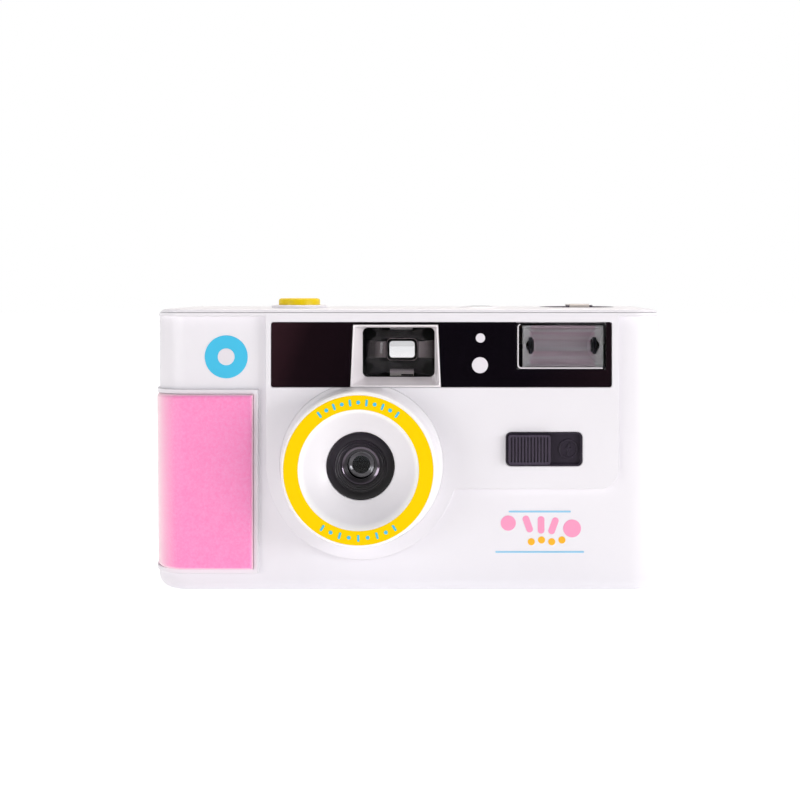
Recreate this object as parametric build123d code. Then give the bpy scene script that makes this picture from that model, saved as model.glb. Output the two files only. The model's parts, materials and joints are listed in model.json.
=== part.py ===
# A plastic 35 mm film camera with a fixed lens, a flash, a pink grip and a yellow lens ring.
# X runs to the right seen from the front, -Y is the front and +Z is up, in millimetres.
# The origin is on the base, 9.8 mm to the right of the lens and about half way through the depth.

import math
import os

from build123d import *

# Body shell
top_room = 9.3
left_room = 4.8
right_room = 4.9
lid_edge = 0.5
top_round = 3.5
top_wall = 2.8
lid_plug = 1.9
lid_thickness = 0.8
front_face_y = -13.7
door_depth = 7.5
seam_y = 1.0
door_lap = 2.0
wall = 1.6
front_corner = 8.0
back_corner = 5.0
base_radius = 3.0
seam_gap = 0.15
fit = 0.1
running = 0.07

# Raised front plate and the lip along the top
plate_rise = 1.3
plate_left_margin = 25.8
plate_right_margin = 10.55
plate_low_z = 23.5
plate_corner = 4.3
plate_round_radius = 21.5
plate_blend = 1.2
lip_height = 0.75

# Lens and its mount
lens_x = -9.8
lens_z = 29.05
mount_front_y = -24.0
mount_land = 0.7
mount_flare = 1.4
mount_edge = 0.7
ring_outer_radius = 16.3
ring_width = 3.1
dish_step = 2.0
dish_low_rise = 1.25
dish_high_rise = 3.5
ring_thickness = 0.5
ring_proud = 0.05
barrel_front_y = -18.0
barrel_radius = 7.5
barrel_length = 5.6
barrel_step_radius = 4.3
barrel_lip_radius = 3.1
element_radius = 3.65
element_thickness = 1.15
stop_radius = 2.0
stop_thickness = 0.4
retainer_thickness = 0.8
spigot_radius = 11.5

# Shutter
shutter_plate_thickness = 1.0
shutter_plate_width = 30.0
shutter_plate_height = 26.0
shutter_hole_radius = 4.2
blade_thickness = 0.3
blade_radius = 5.6
blade_pivot_x = 11.0
blade_pivot_radius = 1.0
blade_tail = 2.5
blade_gap = 0.15
blade_room = 0.8
shutter_post_radius = 0.5
shutter_spring_radius = 0.9
shutter_spring_wire = 0.3
shutter_spring_length = 6.0
shutter_spring_turns = 7

# Film path
film_y = 14.5
gate_width = 36.0
gate_height = 24.0
film_height = 35.0
gate_plate_thickness = 1.6
film_channel = 0.2
rail_width = 1.2
gate_plate_margin = 0.65
light_box_wall = 1.2
light_box_front_width = 13.0
light_box_front_height = 11.0

# Cassette chamber and rewind
sprocket_side_room = 2.05
cassette_y = 5.0
cassette_radius = 13.2
chamber_wall = 1.3
chamber_low_z = 4.0
film_room_above = 23.95
chassis_roof = 1.6
roof_past_pivot = 2.2
roof_before_sprocket = 8.0
rewind_shaft_radius = 2.4
bush_radius = 5.0
rewind_fork_reach = 4.8
rewind_fork_slot = 1.6
rewind_fork_depth = 4.0
rewind_hub_radius = 8.9
rewind_hub_thickness = 1.4
rewind_hub_rim = 0.8
rewind_hub_rise = 0.15
rewind_well_radius = 9.15
rewind_boss_radius = 12.5
rewind_boss_height = 0.12
rewind_well_depth = 5.2
crank_width = 4.6
crank_thickness = 1.2
crank_sink = 0.5
crank_pivot_reach = 6.4
crank_pin_radius = 0.6
crank_knob_reach = 4.6
crank_knob_radius = 2.7
crank_knob_height = 2.6
crank_ear = 0.8
crank_ear_drop = 0.3
crank_stud_radius = 0.8

# Take-up and advance wheel
take_up_y = 8.0
take_up_from_gate = 13.9
take_up_radius = 10.6
spool_radius = 6.0
spool_flange_radius = 9.5
spool_flange = 1.2
spool_slot = 1.6
spool_foot = 6.0
spool_cap = 3.0
spool_wall = 1.5
spool_pin_radius = 1.5
spool_pin_length = 4.0
wheel_radius = 13.6
wheel_drop = 7.5
wheel_thickness = 3.6
wheel_teeth = 60
wheel_tooth_depth = 0.5
wheel_shaft_radius = 3.0
wheel_gap = 0.4

# Sprocket and frame counter
sprocket_from_gate = 8.7
sprocket_bridge = 8.0
cut_margin = 5.0
sprocket_teeth = 8
sprocket_drum_radius = 6.05
sprocket_tooth_height = 0.9
sprocket_height = 4.0
sprocket_row_rise = 15.45
sprocket_shaft_radius = 1.2
sprocket_foot = 0.4
dial_y = 0.5
dial_radius = 6.3
dial_teeth = 40
dial_thickness = 1.0
dial_drop = 4.5
dial_pin_radius = 1.2
counter_window_offset = 3.1
counter_window_radius = 3.7
counter_mound = 0.4
counter_window_thickness = 1.2
cam_radius = 1.5

# Shutter button and release lever
button_x = -25.3
button_y = -2.5
button_radius = 4.8
button_gap = 0.25
button_cap_inner = 3.9
button_rise = 2.3
button_sink = 0.05
button_travel = 1.5
button_stem_radius = 2.0
button_stem_reach = 1.6
button_spare = 0.25
collar_radius = 6.5
collar_height = 0.74
button_spring_radius = 3.0
button_spring_wire = 0.4
button_spring_turns = 3.5
lever_length = 10.3
lever_drop = 5.4
lever_thickness = 1.6
lever_pin_radius = 0.8
lever_tip = 0.6

# Black window panel
panel_left_border = 1.25
panel_right_border = 1.61
panel_height = 14.5
panel_drop = 2.2
panel_thickness = 1.2
panel_corner = 0.5

# Viewfinder
finder_x = -2.0
finder_rise = 7.4
hood_top_left = 9.65
hood_top_right = 9.37
hood_top_border = 0.55
hood_low_left = 10.3
hood_low_right = 10.0
hood_depth = 6.4
hood_edge = 0.35
hood_mouth_left = 8.0
hood_mouth_right = 8.5
hood_mouth_sill = 1.8
hood_mouth_head = 0.85
hood_mouth_corner = 1.2
finder_lens_thickness = 1.5
finder_lens_margin = 0.5
finder_hollow_radius = 23.0
tunnel_wall = 1.0
tunnel_front_depth = 6.0
tunnel_width = 9.0
tunnel_height = 6.6
eyepiece_width = 11.0
eyepiece_height = 7.6
eyepiece_thickness = 1.8
eyepiece_surround = 1.6
eyepiece_proud = 0.7
eyepiece_recess = 0.5

# Flash
flash_width = 19.9
flash_right_border = 1.34
flash_height = 10.25
flash_top_border = 0.25
flash_window_thickness = 1.3
flash_window_corner = 0.8
flash_window_proud = 0.1
flash_rib_count = 12
flash_rib_depth = 0.3
reflector_left_border = 1.3
reflector_right_border = 0.4
reflector_end_slope = 3.2
reflector_depth = 3.9
reflector_wall = 0.5
flash_tube_radius = 1.2
flash_tube_rise = 5.2
flash_tube_length = 17.2
capacitor_radius = 5.2
capacitor_length = 31.0
capacitor_y = 0.0
board_from_battery = 1.35
board_right_room = 7.0
board_low_z = 8.0
board_drop = 0.4
board_thickness = 1.2
board_stand = 0.8
board_post_radius = 1.1
board_post_inset = 2.6
transformer_width = 5.4
transformer_depth = 4.2
transformer_height = 10.0
transformer_z = 12.0
lamp_offset = 14.6
lamp_rise = 3.2
lamp_radius = 1.5

# Battery, one AAA cell standing behind the front
battery_from_sprocket = 1.1
battery_front_room = 0.25
battery_low_z = 2.2
battery_radius = 5.25
battery_length = 44.5
battery_play = 0.3
battery_tube_wall = 0.8
battery_tube_roof = 1.2
battery_foot_margin = 0.9
battery_foot_thickness = 1.2
battery_door_width = 15.0
battery_door_depth = 11.6
battery_door_thickness = 1.3
battery_door_sink = 0.2
battery_pin_length = 1.0
battery_pin_radius = 0.45
battery_hinge_radius = 0.8
contact_thickness = 0.4

# Flash switch
switch_width = 17.0
switch_right_margin = 18.8
switch_height = 7.5
switch_drop = 10.2
switch_corner = 1.1
tray_rim = 0.35
tray_proud = 0.25
tray_floor_depth = 0.5
tray_back_depth = 1.3
slider_width = 9.4
slider_proud = 1.3
slider_ribs = 11
slider_rib_height = 0.45
slider_travel = 6.6
slider_lift = 0.3
slider_stem_width = 1.6
slider_stem_height = 1.4
slider_stem_inset = 0.6
switch_contact_thickness = 0.5
switch_contact_length = 4.5
switch_contact_height = 4.0
symbol_inset = 3.03
symbol_radius = 2.2
symbol_line = 0.35
symbol_height = 0.2

# Grip
grip_to_plate = 2.9
grip_low_z = 5.5
grip_drop = 1.7
grip_bulge = 1.0
grip_front_bulge = 2.3
grip_pocket = 0.6
grip_edge = 0.9
grip_border = 1.1
grip_border_rise = 0.9

# Back door
door_low_z = 0.4
door_rise = 0.4
door_gap = 0.25
hinge_depth = 2.1
hinge_radius = 1.6
hinge_pin_radius = 0.7
ear_height = 5.0
ear_low_z = 6.0
ear_drop = 10.4
ear_sweep_radius = 3.1
notch_half = 11.0
notch_drop = 5.9
notch_gap = 0.4
notch_wall = 0.6
notch_wall_gap = 0.2
strip_floor = 1.2
plate_pad_width = 44.0
plate_pad_height = 33.0
plate_pad_thickness = 1.2
pad_spring_thickness = 0.3
pad_spring_length = 31.7
pad_spring_width = 8.0

# Door latch on the right side
latch_y = 9.2
latch_width = 3.2
latch_low_z = 23.7
latch_height = 3.65
latch_proud = 2.0
latch_travel = 4.0
latch_stem_width = 1.6
latch_stem_inset = 0.6
latch_spring_inset = 2.3
latch_spring_height = 9.0
latch_spring_radius = 0.45
latch_spring_wire = 0.22
latch_spring_turns = 7
latch_plate_drop = 6.7
hook_far = 2.0
barb_reach = 0.4
barb_drop = 1.6
tongue_rise = 7.3
tongue_height = 3.0
tongue_thickness = 1.2
tongue_gap = 0.35
tongue_reach = 1.0
tongue_root = 1.0
tongue_root_depth = 2.0
latch_plate_thickness = 1.2

# Base fittings
left_screw_room = 7.1
right_screw_room = 7.0
front_screw_room = 8.7
right_screw_step = 2.5
spool_screw_gap = 2.4
spool_screw_y = 8.0
cassette_screw_tuck = 0.4
cassette_screw_y = 3.5
screw_head_radius = 2.1
screw_head_height = 0.8
screw_sink = 0.2
screw_shank_radius = 1.0
screw_length = 7.0
screw_slot = 0.6
boss_radius = 2.3
rewind_button_radius = 2.4
rewind_button_sink = 0.25
rewind_button_travel = 1.0
rewind_button_flange = 2.7
rewind_spring_wire = 0.25

# Strap bar in a recess of the right side
strap_y = 6.9
strap_recess_half = 5.1
strap_drop = 8.0
strap_height = 4.4
strap_depth = 6.3
strap_wall = 0.8
strap_bar_radius = 0.8
strap_bar_inset = 1.1

# Worked out from the sizes above
ring_inner_radius = ring_outer_radius - ring_width
mount_rim_radius = ring_outer_radius + mount_land
mount_foot_radius = mount_rim_radius + mount_flare
chamber_high_z = lens_z + film_room_above
roof_z = chamber_high_z + chassis_roof
body_height = roof_z + top_room
lid_seam_z = body_height - lid_thickness
sprocket_x = lens_x + gate_width / 2 + sprocket_from_gate
cassette_x = (
    sprocket_x + sprocket_drum_radius + sprocket_tooth_height
    + sprocket_side_room + chamber_wall + cassette_radius
)
take_up_x = lens_x - gate_width / 2 - take_up_from_gate
left_x = take_up_x - take_up_radius - left_room
right_x = cassette_x + cassette_radius + right_room
body_width = right_x - left_x
door_y = film_y - door_lap
back_y = door_y + door_depth
door_high_z = chamber_high_z + door_rise
plate_y = front_face_y - plate_rise
inner_front_y = front_face_y + wall
plate_left_x = left_x + plate_left_margin
plate_right_x = right_x - plate_right_margin
panel_high_z = lid_seam_z - panel_drop
panel_low_z = panel_high_z - panel_height
panel_left_x = plate_left_x + panel_left_border
panel_right_x = plate_right_x - panel_right_border
finder_z = panel_low_z + finder_rise
hood_top_left_x = finder_x - hood_top_left
hood_top_right_x = finder_x + hood_top_right
hood_top_z = panel_high_z - hood_top_border
hood_low_left_x = finder_x - hood_low_left
hood_low_right_x = finder_x + hood_low_right
hood_mouth_left_x = finder_x - hood_mouth_left
hood_mouth_right_x = finder_x + hood_mouth_right
hood_mouth_low_z = panel_low_z + hood_mouth_sill
hood_mouth_high_z = hood_top_z - hood_mouth_head
lamp_x = finder_x + lamp_offset
lamp_z = finder_z + lamp_rise
flash_right_x = panel_right_x - flash_right_border
flash_left_x = flash_right_x - flash_width
flash_high_z = panel_high_z - flash_top_border
flash_low_z = flash_high_z - flash_height
reflector_left_x = flash_left_x + reflector_left_border
reflector_right_x = flash_right_x - reflector_right_border
flash_tube_z = flash_low_z + flash_tube_rise
battery_x = sprocket_x + battery_from_sprocket
battery_y = inner_front_y + battery_radius + battery_play + battery_tube_wall + battery_front_room
battery_top_z = battery_low_z + battery_length + battery_play
battery_tube_outer = battery_radius + battery_play + battery_tube_wall
board_left_x = battery_x + battery_radius + board_from_battery
board_right_x = right_x - board_right_room
board_high_z = panel_low_z - board_drop
switch_right_x = right_x - switch_right_margin
switch_left_x = switch_right_x - switch_width
switch_high_z = panel_low_z - switch_drop
switch_low_z = switch_high_z - switch_height
grip_right_x = plate_left_x - grip_to_plate
grip_high_z = panel_low_z - grip_drop
barrel_back_y = barrel_front_y + barrel_length
shutter_y = inner_front_y + fit
gate_front_y = film_y - film_channel - gate_plate_thickness
film_low_z = lens_z - film_height / 2
film_high_z = lens_z + film_height / 2
gate_plate_high_z = film_high_z + gate_plate_margin
chamber_floor_z = wall + fit
sprocket_y = film_y - sprocket_drum_radius
sprocket_row_z = lens_z + sprocket_row_rise
sprocket_low_z = chamber_low_z - sprocket_foot
rewind_fork_z = chamber_high_z - rewind_fork_reach
rewind_well_floor_z = body_height - rewind_well_depth
hub_rim_z = body_height + rewind_hub_rise
crank_z = body_height - crank_sink
crank_pin_z = crank_z + crank_thickness / 2
crank_pivot_y = cassette_y - crank_pivot_reach
crank_knob_y = cassette_y + crank_knob_reach
wheel_low_z = body_height - wheel_drop
dial_z = body_height - dial_drop
counter_window_y = dial_y - counter_window_offset
button_top_z = body_height + button_rise
button_low_z = body_height - button_sink
button_stem_low_z = chamber_high_z - button_stem_reach
well_floor_z = button_low_z - button_travel - button_spare
lever_pivot_x = button_x + lever_length
lever_pivot_z = chamber_high_z - lever_drop
roof_left_end_x = lever_pivot_x + roof_past_pivot
roof_right_start_x = sprocket_x - roof_before_sprocket
lid_low_z = lid_seam_z - lid_plug
tunnel_start_y = plate_y + hood_depth + finder_lens_thickness + 2 * fit
hinge_x = left_x + hinge_radius
hinge_y = door_y + hinge_depth
ear_high_z = door_high_z - ear_drop
notch_left_x = finder_x - notch_half
notch_right_x = finder_x + notch_half
notch_low_z = finder_z - notch_drop
notch_wall_y = film_y + notch_wall_gap
latch_plate_low_z = latch_low_z - latch_plate_drop
latch_spring_low_z = latch_plate_low_z - latch_spring_height
latch_spring_x = right_x - latch_spring_inset
tongue_low_z = latch_low_z + tongue_rise
strap_low_z = body_height - strap_drop
strap_high_z = strap_low_z + strap_height
screw_places = [
    (left_x + left_screw_room, front_face_y + front_screw_room),
    (right_x - right_screw_room, front_face_y + front_screw_room - right_screw_step),
    (take_up_x + take_up_radius + chamber_wall + boss_radius + spool_screw_gap, spool_screw_y),
    (cassette_x - cassette_radius - chamber_wall - boss_radius + cassette_screw_tuck, cassette_screw_y),
]


def block(x0, x1, y0, y1, z0, z1):
    """A box between two opposite corners."""
    return Pos((x0 + x1) / 2, (y0 + y1) / 2, (z0 + z1) / 2) * Box(x1 - x0, y1 - y0, z1 - z0)


def upright(x, y, z0, z1, radius):
    """A standing cylinder."""
    return Pos(x, y, (z0 + z1) / 2) * Cylinder(radius, z1 - z0)


def along_x(y, z, x0, x1, radius):
    """A cylinder that lies from side to side."""
    return Pos((x0 + x1) / 2, y, z) * Rot(0, 90, 0) * Cylinder(radius, x1 - x0)


def along_y(x, z, y0, y1, radius):
    """A cylinder that points from front to back."""
    return Pos(x, (y0 + y1) / 2, z) * Rot(90, 0, 0) * Cylinder(radius, y1 - y0)


def turned(profile, x, z):
    """A solid turned about a line from front to back; the profile holds (radius, y) points."""
    return Pos(x, 0, z) * revolve(make_face(Polyline(*profile, close=True)), Axis.Y)


def spun(profile, x, y):
    """A solid turned about a standing line; the profile holds (radius, z) points."""
    return Pos(x, y, 0) * revolve(Plane.XZ * make_face(Polyline(*profile, close=True)), Axis.Z)


def from_front(sketch, y0, y1):
    """A sketch drawn in the front view, given depth from y0 back to y1."""
    return Pos(0, y1, 0) * extrude(Plane.XZ * sketch, y1 - y0)


def front_rectangle(x0, x1, z0, z1, radius=0.0):
    """A rectangle in the front view, with rounded corners if it has a radius."""
    centre = Pos((x0 + x1) / 2, (z0 + z1) / 2)
    if radius > 0:
        return centre * RectangleRounded(x1 - x0, z1 - z0, radius)
    return centre * Rectangle(x1 - x0, z1 - z0)


def body_block(front, inset, low, high, round_low=0.0):
    """The body's plan outline given height, drawn in by the inset, with its low edge rounded."""
    rear = back_y - inset
    near = front + inset
    plan = Pos((left_x + right_x) / 2, (near + rear) / 2) * Rectangle(body_width - 2 * inset, rear - near)
    plan = fillet(plan.vertices().group_by(Axis.Y)[0], front_corner - inset)
    plan = fillet(plan.vertices().group_by(Axis.Y)[-1], back_corner - inset)
    solid = extrude(Pos(0, 0, low) * plan, high - low)
    if round_low > 0:
        solid = fillet(solid.edges().group_by(Axis.Z)[0], round_low)
    return solid


def body_slice(y0, y1, z0=-1.0, z1=body_height + cut_margin):
    """A box as wide as the whole camera, to cut the body into its covers."""
    return block(-body_width, body_width, y0, y1, z0, z1)


def body_hollow(high):
    """The space inside the body's walls, which are thicker at both ends under the rounded top."""
    space = body_block(front_face_y, wall, wall, high, base_radius - wall)
    ends = body_slice(-body_width, body_width, lid_low_z - fit)
    ends -= block(left_x + top_wall, right_x - top_wall, -body_width, body_width, 0, body_height + 2 * cut_margin)
    return space - ends


def top_corners():
    """What the rounding takes off the two top corners of the front view, from front to back."""
    low = body_height - top_round
    left = block(left_x - 1, left_x + top_round, -body_width, body_width, low, body_height + 1)
    left -= along_y(left_x + top_round, low, -body_width, body_width, top_round)
    right = block(right_x - top_round, right_x + 1, -body_width, body_width, low, body_height + 1)
    right -= along_y(right_x - top_round, low, -body_width, body_width, top_round)
    return left + right


def screw_holes():
    """Stepped holes in the base for the screws."""
    holes = []
    for x, y in screw_places:
        holes.append(upright(x, y, -1, screw_sink + screw_head_height, screw_head_radius + fit))
        holes.append(upright(x, y, -1, wall + 1, screw_shank_radius + fit))
    return holes


def battery_door_space(gap):
    """The room that the battery door takes in the base."""
    return block(
        battery_x - battery_door_width / 2 - gap,
        battery_x + battery_door_width / 2 + gap,
        battery_y - battery_door_depth / 2 - gap,
        battery_y + battery_door_depth / 2 + gap,
        -1,
        wall + 1,
    )


def grip_region(margin, low_margin):
    """The stretch of the left front that the grip covers, as a box, with a margin round it."""
    return block(
        -body_width,
        grip_right_x + margin,
        -body_width,
        seam_y - seam_gap / 2 - low_margin,
        grip_low_z - margin,
        grip_high_z + margin,
    )


def plate_outline():
    """The raised plate seen from the front: a rectangle that runs into a disc round the lens."""
    rectangle = front_rectangle(plate_left_x, plate_right_x, plate_low_z, lid_seam_z)
    low_right = rectangle.vertices().sort_by(lambda v: v.X - v.Y)[-1]
    rectangle = fillet([low_right], plate_corner)
    disc = Pos(lens_x, lens_z) * Circle(plate_round_radius)
    left_strip = front_rectangle(plate_left_x, lens_x, lens_z, lid_seam_z)
    right_part = rectangle & front_rectangle(lens_x, plate_right_x + 1, 0, lid_seam_z + 1)
    outline = right_part + disc + left_strip
    meeting_x = lens_x + math.sqrt(plate_round_radius**2 - (lens_z - plate_low_z) ** 2)
    meeting = outline.vertices().sort_by_distance((meeting_x, plate_low_z))[0]
    return fillet([meeting], plate_blend)


def front_cover():
    """White front shell with its raised plate, top lip, grip border and openings."""
    front = plate_y - 1
    cover = body_block(front_face_y, 0, 0, lid_seam_z, base_radius)
    deep = body_block(plate_y, 0, 0, lid_seam_z, base_radius)
    lip = front_rectangle(left_x, right_x, lid_seam_z - lip_height, lid_seam_z)
    cover += deep & from_front(plate_outline(), front, front_face_y + 1)
    cover += deep & from_front(lip, front, front_face_y + front_corner)
    side_rise = grip_border_rise / 3
    border = body_block(front_face_y - grip_border_rise + side_rise, -side_rise, 0, lid_seam_z, base_radius)
    cover += border & grip_region(grip_border, 0)
    cover -= body_hollow(lid_seam_z + 1)
    cover &= body_slice(front, seam_y - seam_gap / 2)
    cover -= top_corners()
    cover -= grip_region(fit, -1) - body_block(front_face_y, grip_pocket, -1, lid_seam_z + 1)

    panel = front_rectangle(panel_left_x, panel_right_x, panel_low_z, panel_high_z, panel_corner)
    panel_floor_y = plate_y + panel_thickness + fit
    cover -= from_front(offset(panel, fit), front, panel_floor_y)
    cover -= from_front(hood_outline(fit), front, inner_front_y + 1)
    flash = front_rectangle(flash_left_x, flash_right_x, flash_low_z, flash_high_z)
    cover -= from_front(offset(flash, fit), front, inner_front_y + 1)
    switch = front_rectangle(switch_left_x, switch_right_x, switch_low_z, switch_high_z, switch_corner)
    cover -= from_front(offset(switch, fit), front, plate_y + tray_back_depth)
    cover -= switch_slot(front, inner_front_y + 1, fit)
    cover -= along_y(lens_x, lens_z, front, inner_front_y + 1, spigot_radius + fit)
    for hole in screw_holes():
        cover -= hole
    cover -= battery_door_space(fit)
    cover -= battery_hinge_sockets()
    for x in (board_left_x + board_post_inset, board_right_x - board_post_inset):
        for z in (board_low_z + board_post_inset, board_high_z - board_post_inset):
            cover += along_y(x, z, inner_front_y - wall / 2, inner_front_y + board_stand - fit,
                             board_post_radius)
    return cover


def battery_hinge_line():
    """Where the battery door turns: the Y and Z of its hinge."""
    rear = battery_y + battery_door_depth / 2
    return rear - battery_hinge_radius, battery_door_sink + battery_hinge_radius


def battery_hinge_sockets():
    """Bores in the base, one each side of the battery door, for its pins."""
    y, z = battery_hinge_line()
    reach = battery_door_width / 2 + battery_pin_length + fit
    return along_x(y, z, battery_x - reach, battery_x + reach, battery_pin_radius + running)


def switch_slot(y0, y1, gap):
    """The slot that the flash switch's stem runs in, hidden by the slider."""
    left = switch_left_x + tray_rim + slider_stem_inset - gap
    right = left + slider_stem_width + slider_travel + 2 * gap
    middle = (switch_low_z + switch_high_z) / 2
    half = slider_stem_height / 2 + gap
    return block(left, right, y0, y1, middle - half, middle + half)


def hood_outline(grow):
    """The viewfinder hood seen from the front, wider at its foot."""
    corners = [
        (hood_low_left_x - grow, panel_low_z - grow),
        (hood_low_right_x + grow, panel_low_z - grow),
        (hood_top_right_x + grow, hood_top_z + grow),
        (hood_top_left_x - grow, hood_top_z + grow),
    ]
    return make_face(Polyline(*corners, close=True))


def top_cover():
    """White lid: a flat plate with the button collar, the rewind boss and the counter mound."""
    lid = body_block(plate_y, 0, lid_seam_z + seam_gap / 2, body_height)
    lid = fillet(lid.edges().group_by(Axis.Z)[-1], lid_edge)
    lid -= top_corners()
    plug = body_block(front_face_y, wall + fit, lid_low_z, lid_seam_z + seam_gap)
    lid += plug & block(left_x + top_wall + fit, right_x - top_wall - fit, -body_width, body_width, 0,
                        body_height)
    collar_top = body_height + collar_height
    lid += spun([(0, well_floor_z - wall), (collar_radius, well_floor_z - wall),
                 (collar_radius, collar_top - 0.3), (collar_radius - 0.3, collar_top), (0, collar_top)],
                button_x, button_y)
    lid -= upright(button_x, button_y, well_floor_z, collar_top + 1, button_radius + button_gap)
    lid -= upright(button_x, button_y, 0, collar_top, button_stem_radius + running)
    boss_top = body_height + rewind_boss_height
    well_outer = rewind_well_radius + wall
    lid += spun([(0, rewind_well_floor_z - wall), (well_outer, rewind_well_floor_z - wall),
                 (well_outer, lid_seam_z), (rewind_boss_radius, lid_seam_z),
                 (rewind_boss_radius, body_height - fit),
                 (rewind_boss_radius - 0.4, boss_top), (0, boss_top)], cassette_x, cassette_y)
    lid -= upright(cassette_x, cassette_y, rewind_well_floor_z, boss_top + 1, rewind_well_radius)
    lid -= upright(cassette_x, cassette_y, 0, boss_top, rewind_shaft_radius + fit)
    mound_top = body_height + counter_mound
    mound_foot = counter_window_radius + 1.2
    lid += spun([(0, lid_low_z), (mound_foot, lid_low_z), (mound_foot, body_height),
                 (mound_foot - 0.5, mound_top), (0, mound_top)], sprocket_x, counter_window_y)
    lid -= upright(sprocket_x, counter_window_y, body_height - counter_window_thickness + counter_mound,
                   mound_top + 1,
                   counter_window_radius + fit)
    lid -= upright(sprocket_x, counter_window_y, lid_low_z - 1, mound_top, counter_window_radius - 0.6)
    return lid


def rear_cover():
    """White shell behind the side seam, with the strip above the door, the hinge ears and the strap recess."""
    cover = body_block(front_face_y, 0, 0, lid_seam_z, base_radius)
    cover -= body_hollow(lid_seam_z + 1)
    cover &= body_slice(seam_y + seam_gap / 2, back_y + 1)
    cover -= top_corners()
    door_room = body_slice(door_y, back_y + 1, -1, door_high_z)
    tab = block(notch_left_x, notch_right_x, door_y - 1, back_y + 1, notch_low_z, door_high_z + 1)
    cover -= door_room - tab
    ledge_y = film_y - film_channel + fit
    ledge = block(left_x + wall, right_x - wall, ledge_y, back_y - wall / 2, door_high_z,
                  door_high_z + strip_floor)
    cover += ledge & body_block(front_face_y, wall / 2, 0, lid_seam_z)
    cover -= block(notch_left_x + notch_wall, notch_right_x - notch_wall, 0, back_y - wall,
                   notch_low_z + notch_wall,
                   door_high_z + strip_floor + 1)
    sides = block(notch_left_x, notch_right_x, notch_wall_y, back_y - wall / 2, notch_low_z,
                  door_high_z + strip_floor)
    sides -= block(notch_left_x + notch_wall, notch_right_x - notch_wall, 0, back_y, notch_low_z + notch_wall,
                   body_height)
    cover += sides
    cover -= upright(take_up_x, take_up_y, wheel_low_z - wheel_gap, wheel_low_z + wheel_thickness + wheel_gap,
                     wheel_radius + wheel_gap)
    half_width = eyepiece_width / 2 + eyepiece_surround
    half_height = eyepiece_height / 2 + eyepiece_surround
    surround = front_rectangle(finder_x - half_width, finder_x + half_width, finder_z - half_height,
                               finder_z + half_height, eyepiece_surround)
    cover += from_front(surround, back_y - wall, back_y + eyepiece_proud)
    window = front_rectangle(finder_x - eyepiece_width / 2, finder_x + eyepiece_width / 2,
                             finder_z - eyepiece_height / 2, finder_z + eyepiece_height / 2, 0.8)
    cover -= from_front(window, back_y - 2 * wall, back_y + 2)
    cover -= along_y(lamp_x, lamp_z, back_y - 2 * wall, back_y + 1, lamp_radius + fit)
    for low in ear_places():
        ear = block(left_x, hinge_x + 0.4, door_y - 0.5, hinge_y, low, low + ear_height)
        ear &= body_block(front_face_y, 0, 0, lid_seam_z)
        ear += upright(hinge_x, hinge_y, low, low + ear_height, hinge_radius)
        cover += ear
    cover -= upright(hinge_x, hinge_y, ear_low_z - 1, ear_high_z + ear_height, hinge_pin_radius)
    cover -= latch_slot()
    shelf = block(latch_spring_x - 0.9, right_x - wall / 2, latch_y - 1, latch_y + 1, latch_spring_low_z - 1,
                  latch_spring_low_z)
    cover += shelf
    cover += strap_housing()
    cover -= strap_recess()
    cover -= strap_pin(strap_bar_radius)
    for hole in screw_holes():
        cover -= hole
    cover -= upright(sprocket_x, sprocket_y, -1, wall + 1, rewind_button_radius + fit)
    return cover


def ear_places():
    """The low end of each hinge ear."""
    return [ear_low_z, ear_high_z]


def latch_slot():
    """The slot in the right wall that the latch's stem runs in."""
    half = latch_stem_width / 2 + fit
    low = latch_low_z + latch_stem_inset - latch_travel - fit
    high = latch_low_z + latch_height - latch_stem_inset + fit
    return block(right_x - 2 * wall, right_x + 1, latch_y - half, latch_y + half, low, high)


def strap_housing():
    """The block that the strap recess is sunk in."""
    half = strap_recess_half + strap_wall
    housing = block(right_x - strap_depth - strap_wall, right_x - wall / 2, strap_y - half, strap_y + half,
                    strap_low_z - strap_wall, strap_high_z + strap_wall)
    return housing & body_block(front_face_y, 0, 0, lid_seam_z)


def strap_recess():
    """The recess behind the strap bar."""
    return block(right_x - strap_depth, right_x + 1, strap_y - strap_recess_half, strap_y + strap_recess_half,
                 strap_low_z, strap_high_z)


def strap_pin(radius):
    """The steel bar across the strap recess."""
    return upright(right_x - strap_bar_inset, strap_y, strap_low_z - strap_wall, strap_high_z + strap_wall,
                   radius)


def back_door():
    """White film door: a shallow tray with hinge barrel, eyepiece notch and latch tongue."""
    door = body_block(front_face_y, 0, 0, lid_seam_z, base_radius)
    door -= body_hollow(door_high_z)
    door &= body_slice(door_y + door_gap, back_y + 1, door_low_z, door_high_z - door_gap)
    door -= block(notch_left_x - notch_gap, notch_right_x + notch_gap, 0, back_y + 1, notch_low_z - notch_gap,
                  body_height)
    door -= block(left_x - 1, hinge_x, 0, hinge_y, -1, body_height)
    barrel_low = ear_low_z + ear_height + seam_gap
    barrel_high = ear_high_z - seam_gap
    door += upright(hinge_x, hinge_y, barrel_low, barrel_high, hinge_radius)
    for low in ear_places():
        door -= upright(hinge_x, hinge_y, low - seam_gap, low + ear_height + seam_gap, ear_sweep_radius)
    door -= upright(hinge_x, hinge_y, barrel_low - 1, barrel_high + 1, hinge_pin_radius + running)
    inner = right_x - wall
    tongue_rear = door_y + tongue_root + tongue_root_depth
    tongue = block(inner - tongue_thickness - tongue_gap, inner - tongue_gap, latch_y - tongue_reach,
                   tongue_rear, tongue_low_z, tongue_low_z + tongue_height)
    tongue += block(inner - tongue_thickness - tongue_gap, inner + wall / 2, door_y + tongue_root,
                    tongue_rear, tongue_low_z,
                    tongue_low_z + tongue_height)
    tongue += block(inner - tongue_thickness - tongue_gap, inner - tongue_gap, latch_y - tongue_reach,
                    latch_y + barb_reach, tongue_low_z - barb_drop, tongue_low_z)
    return door + tongue


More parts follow.
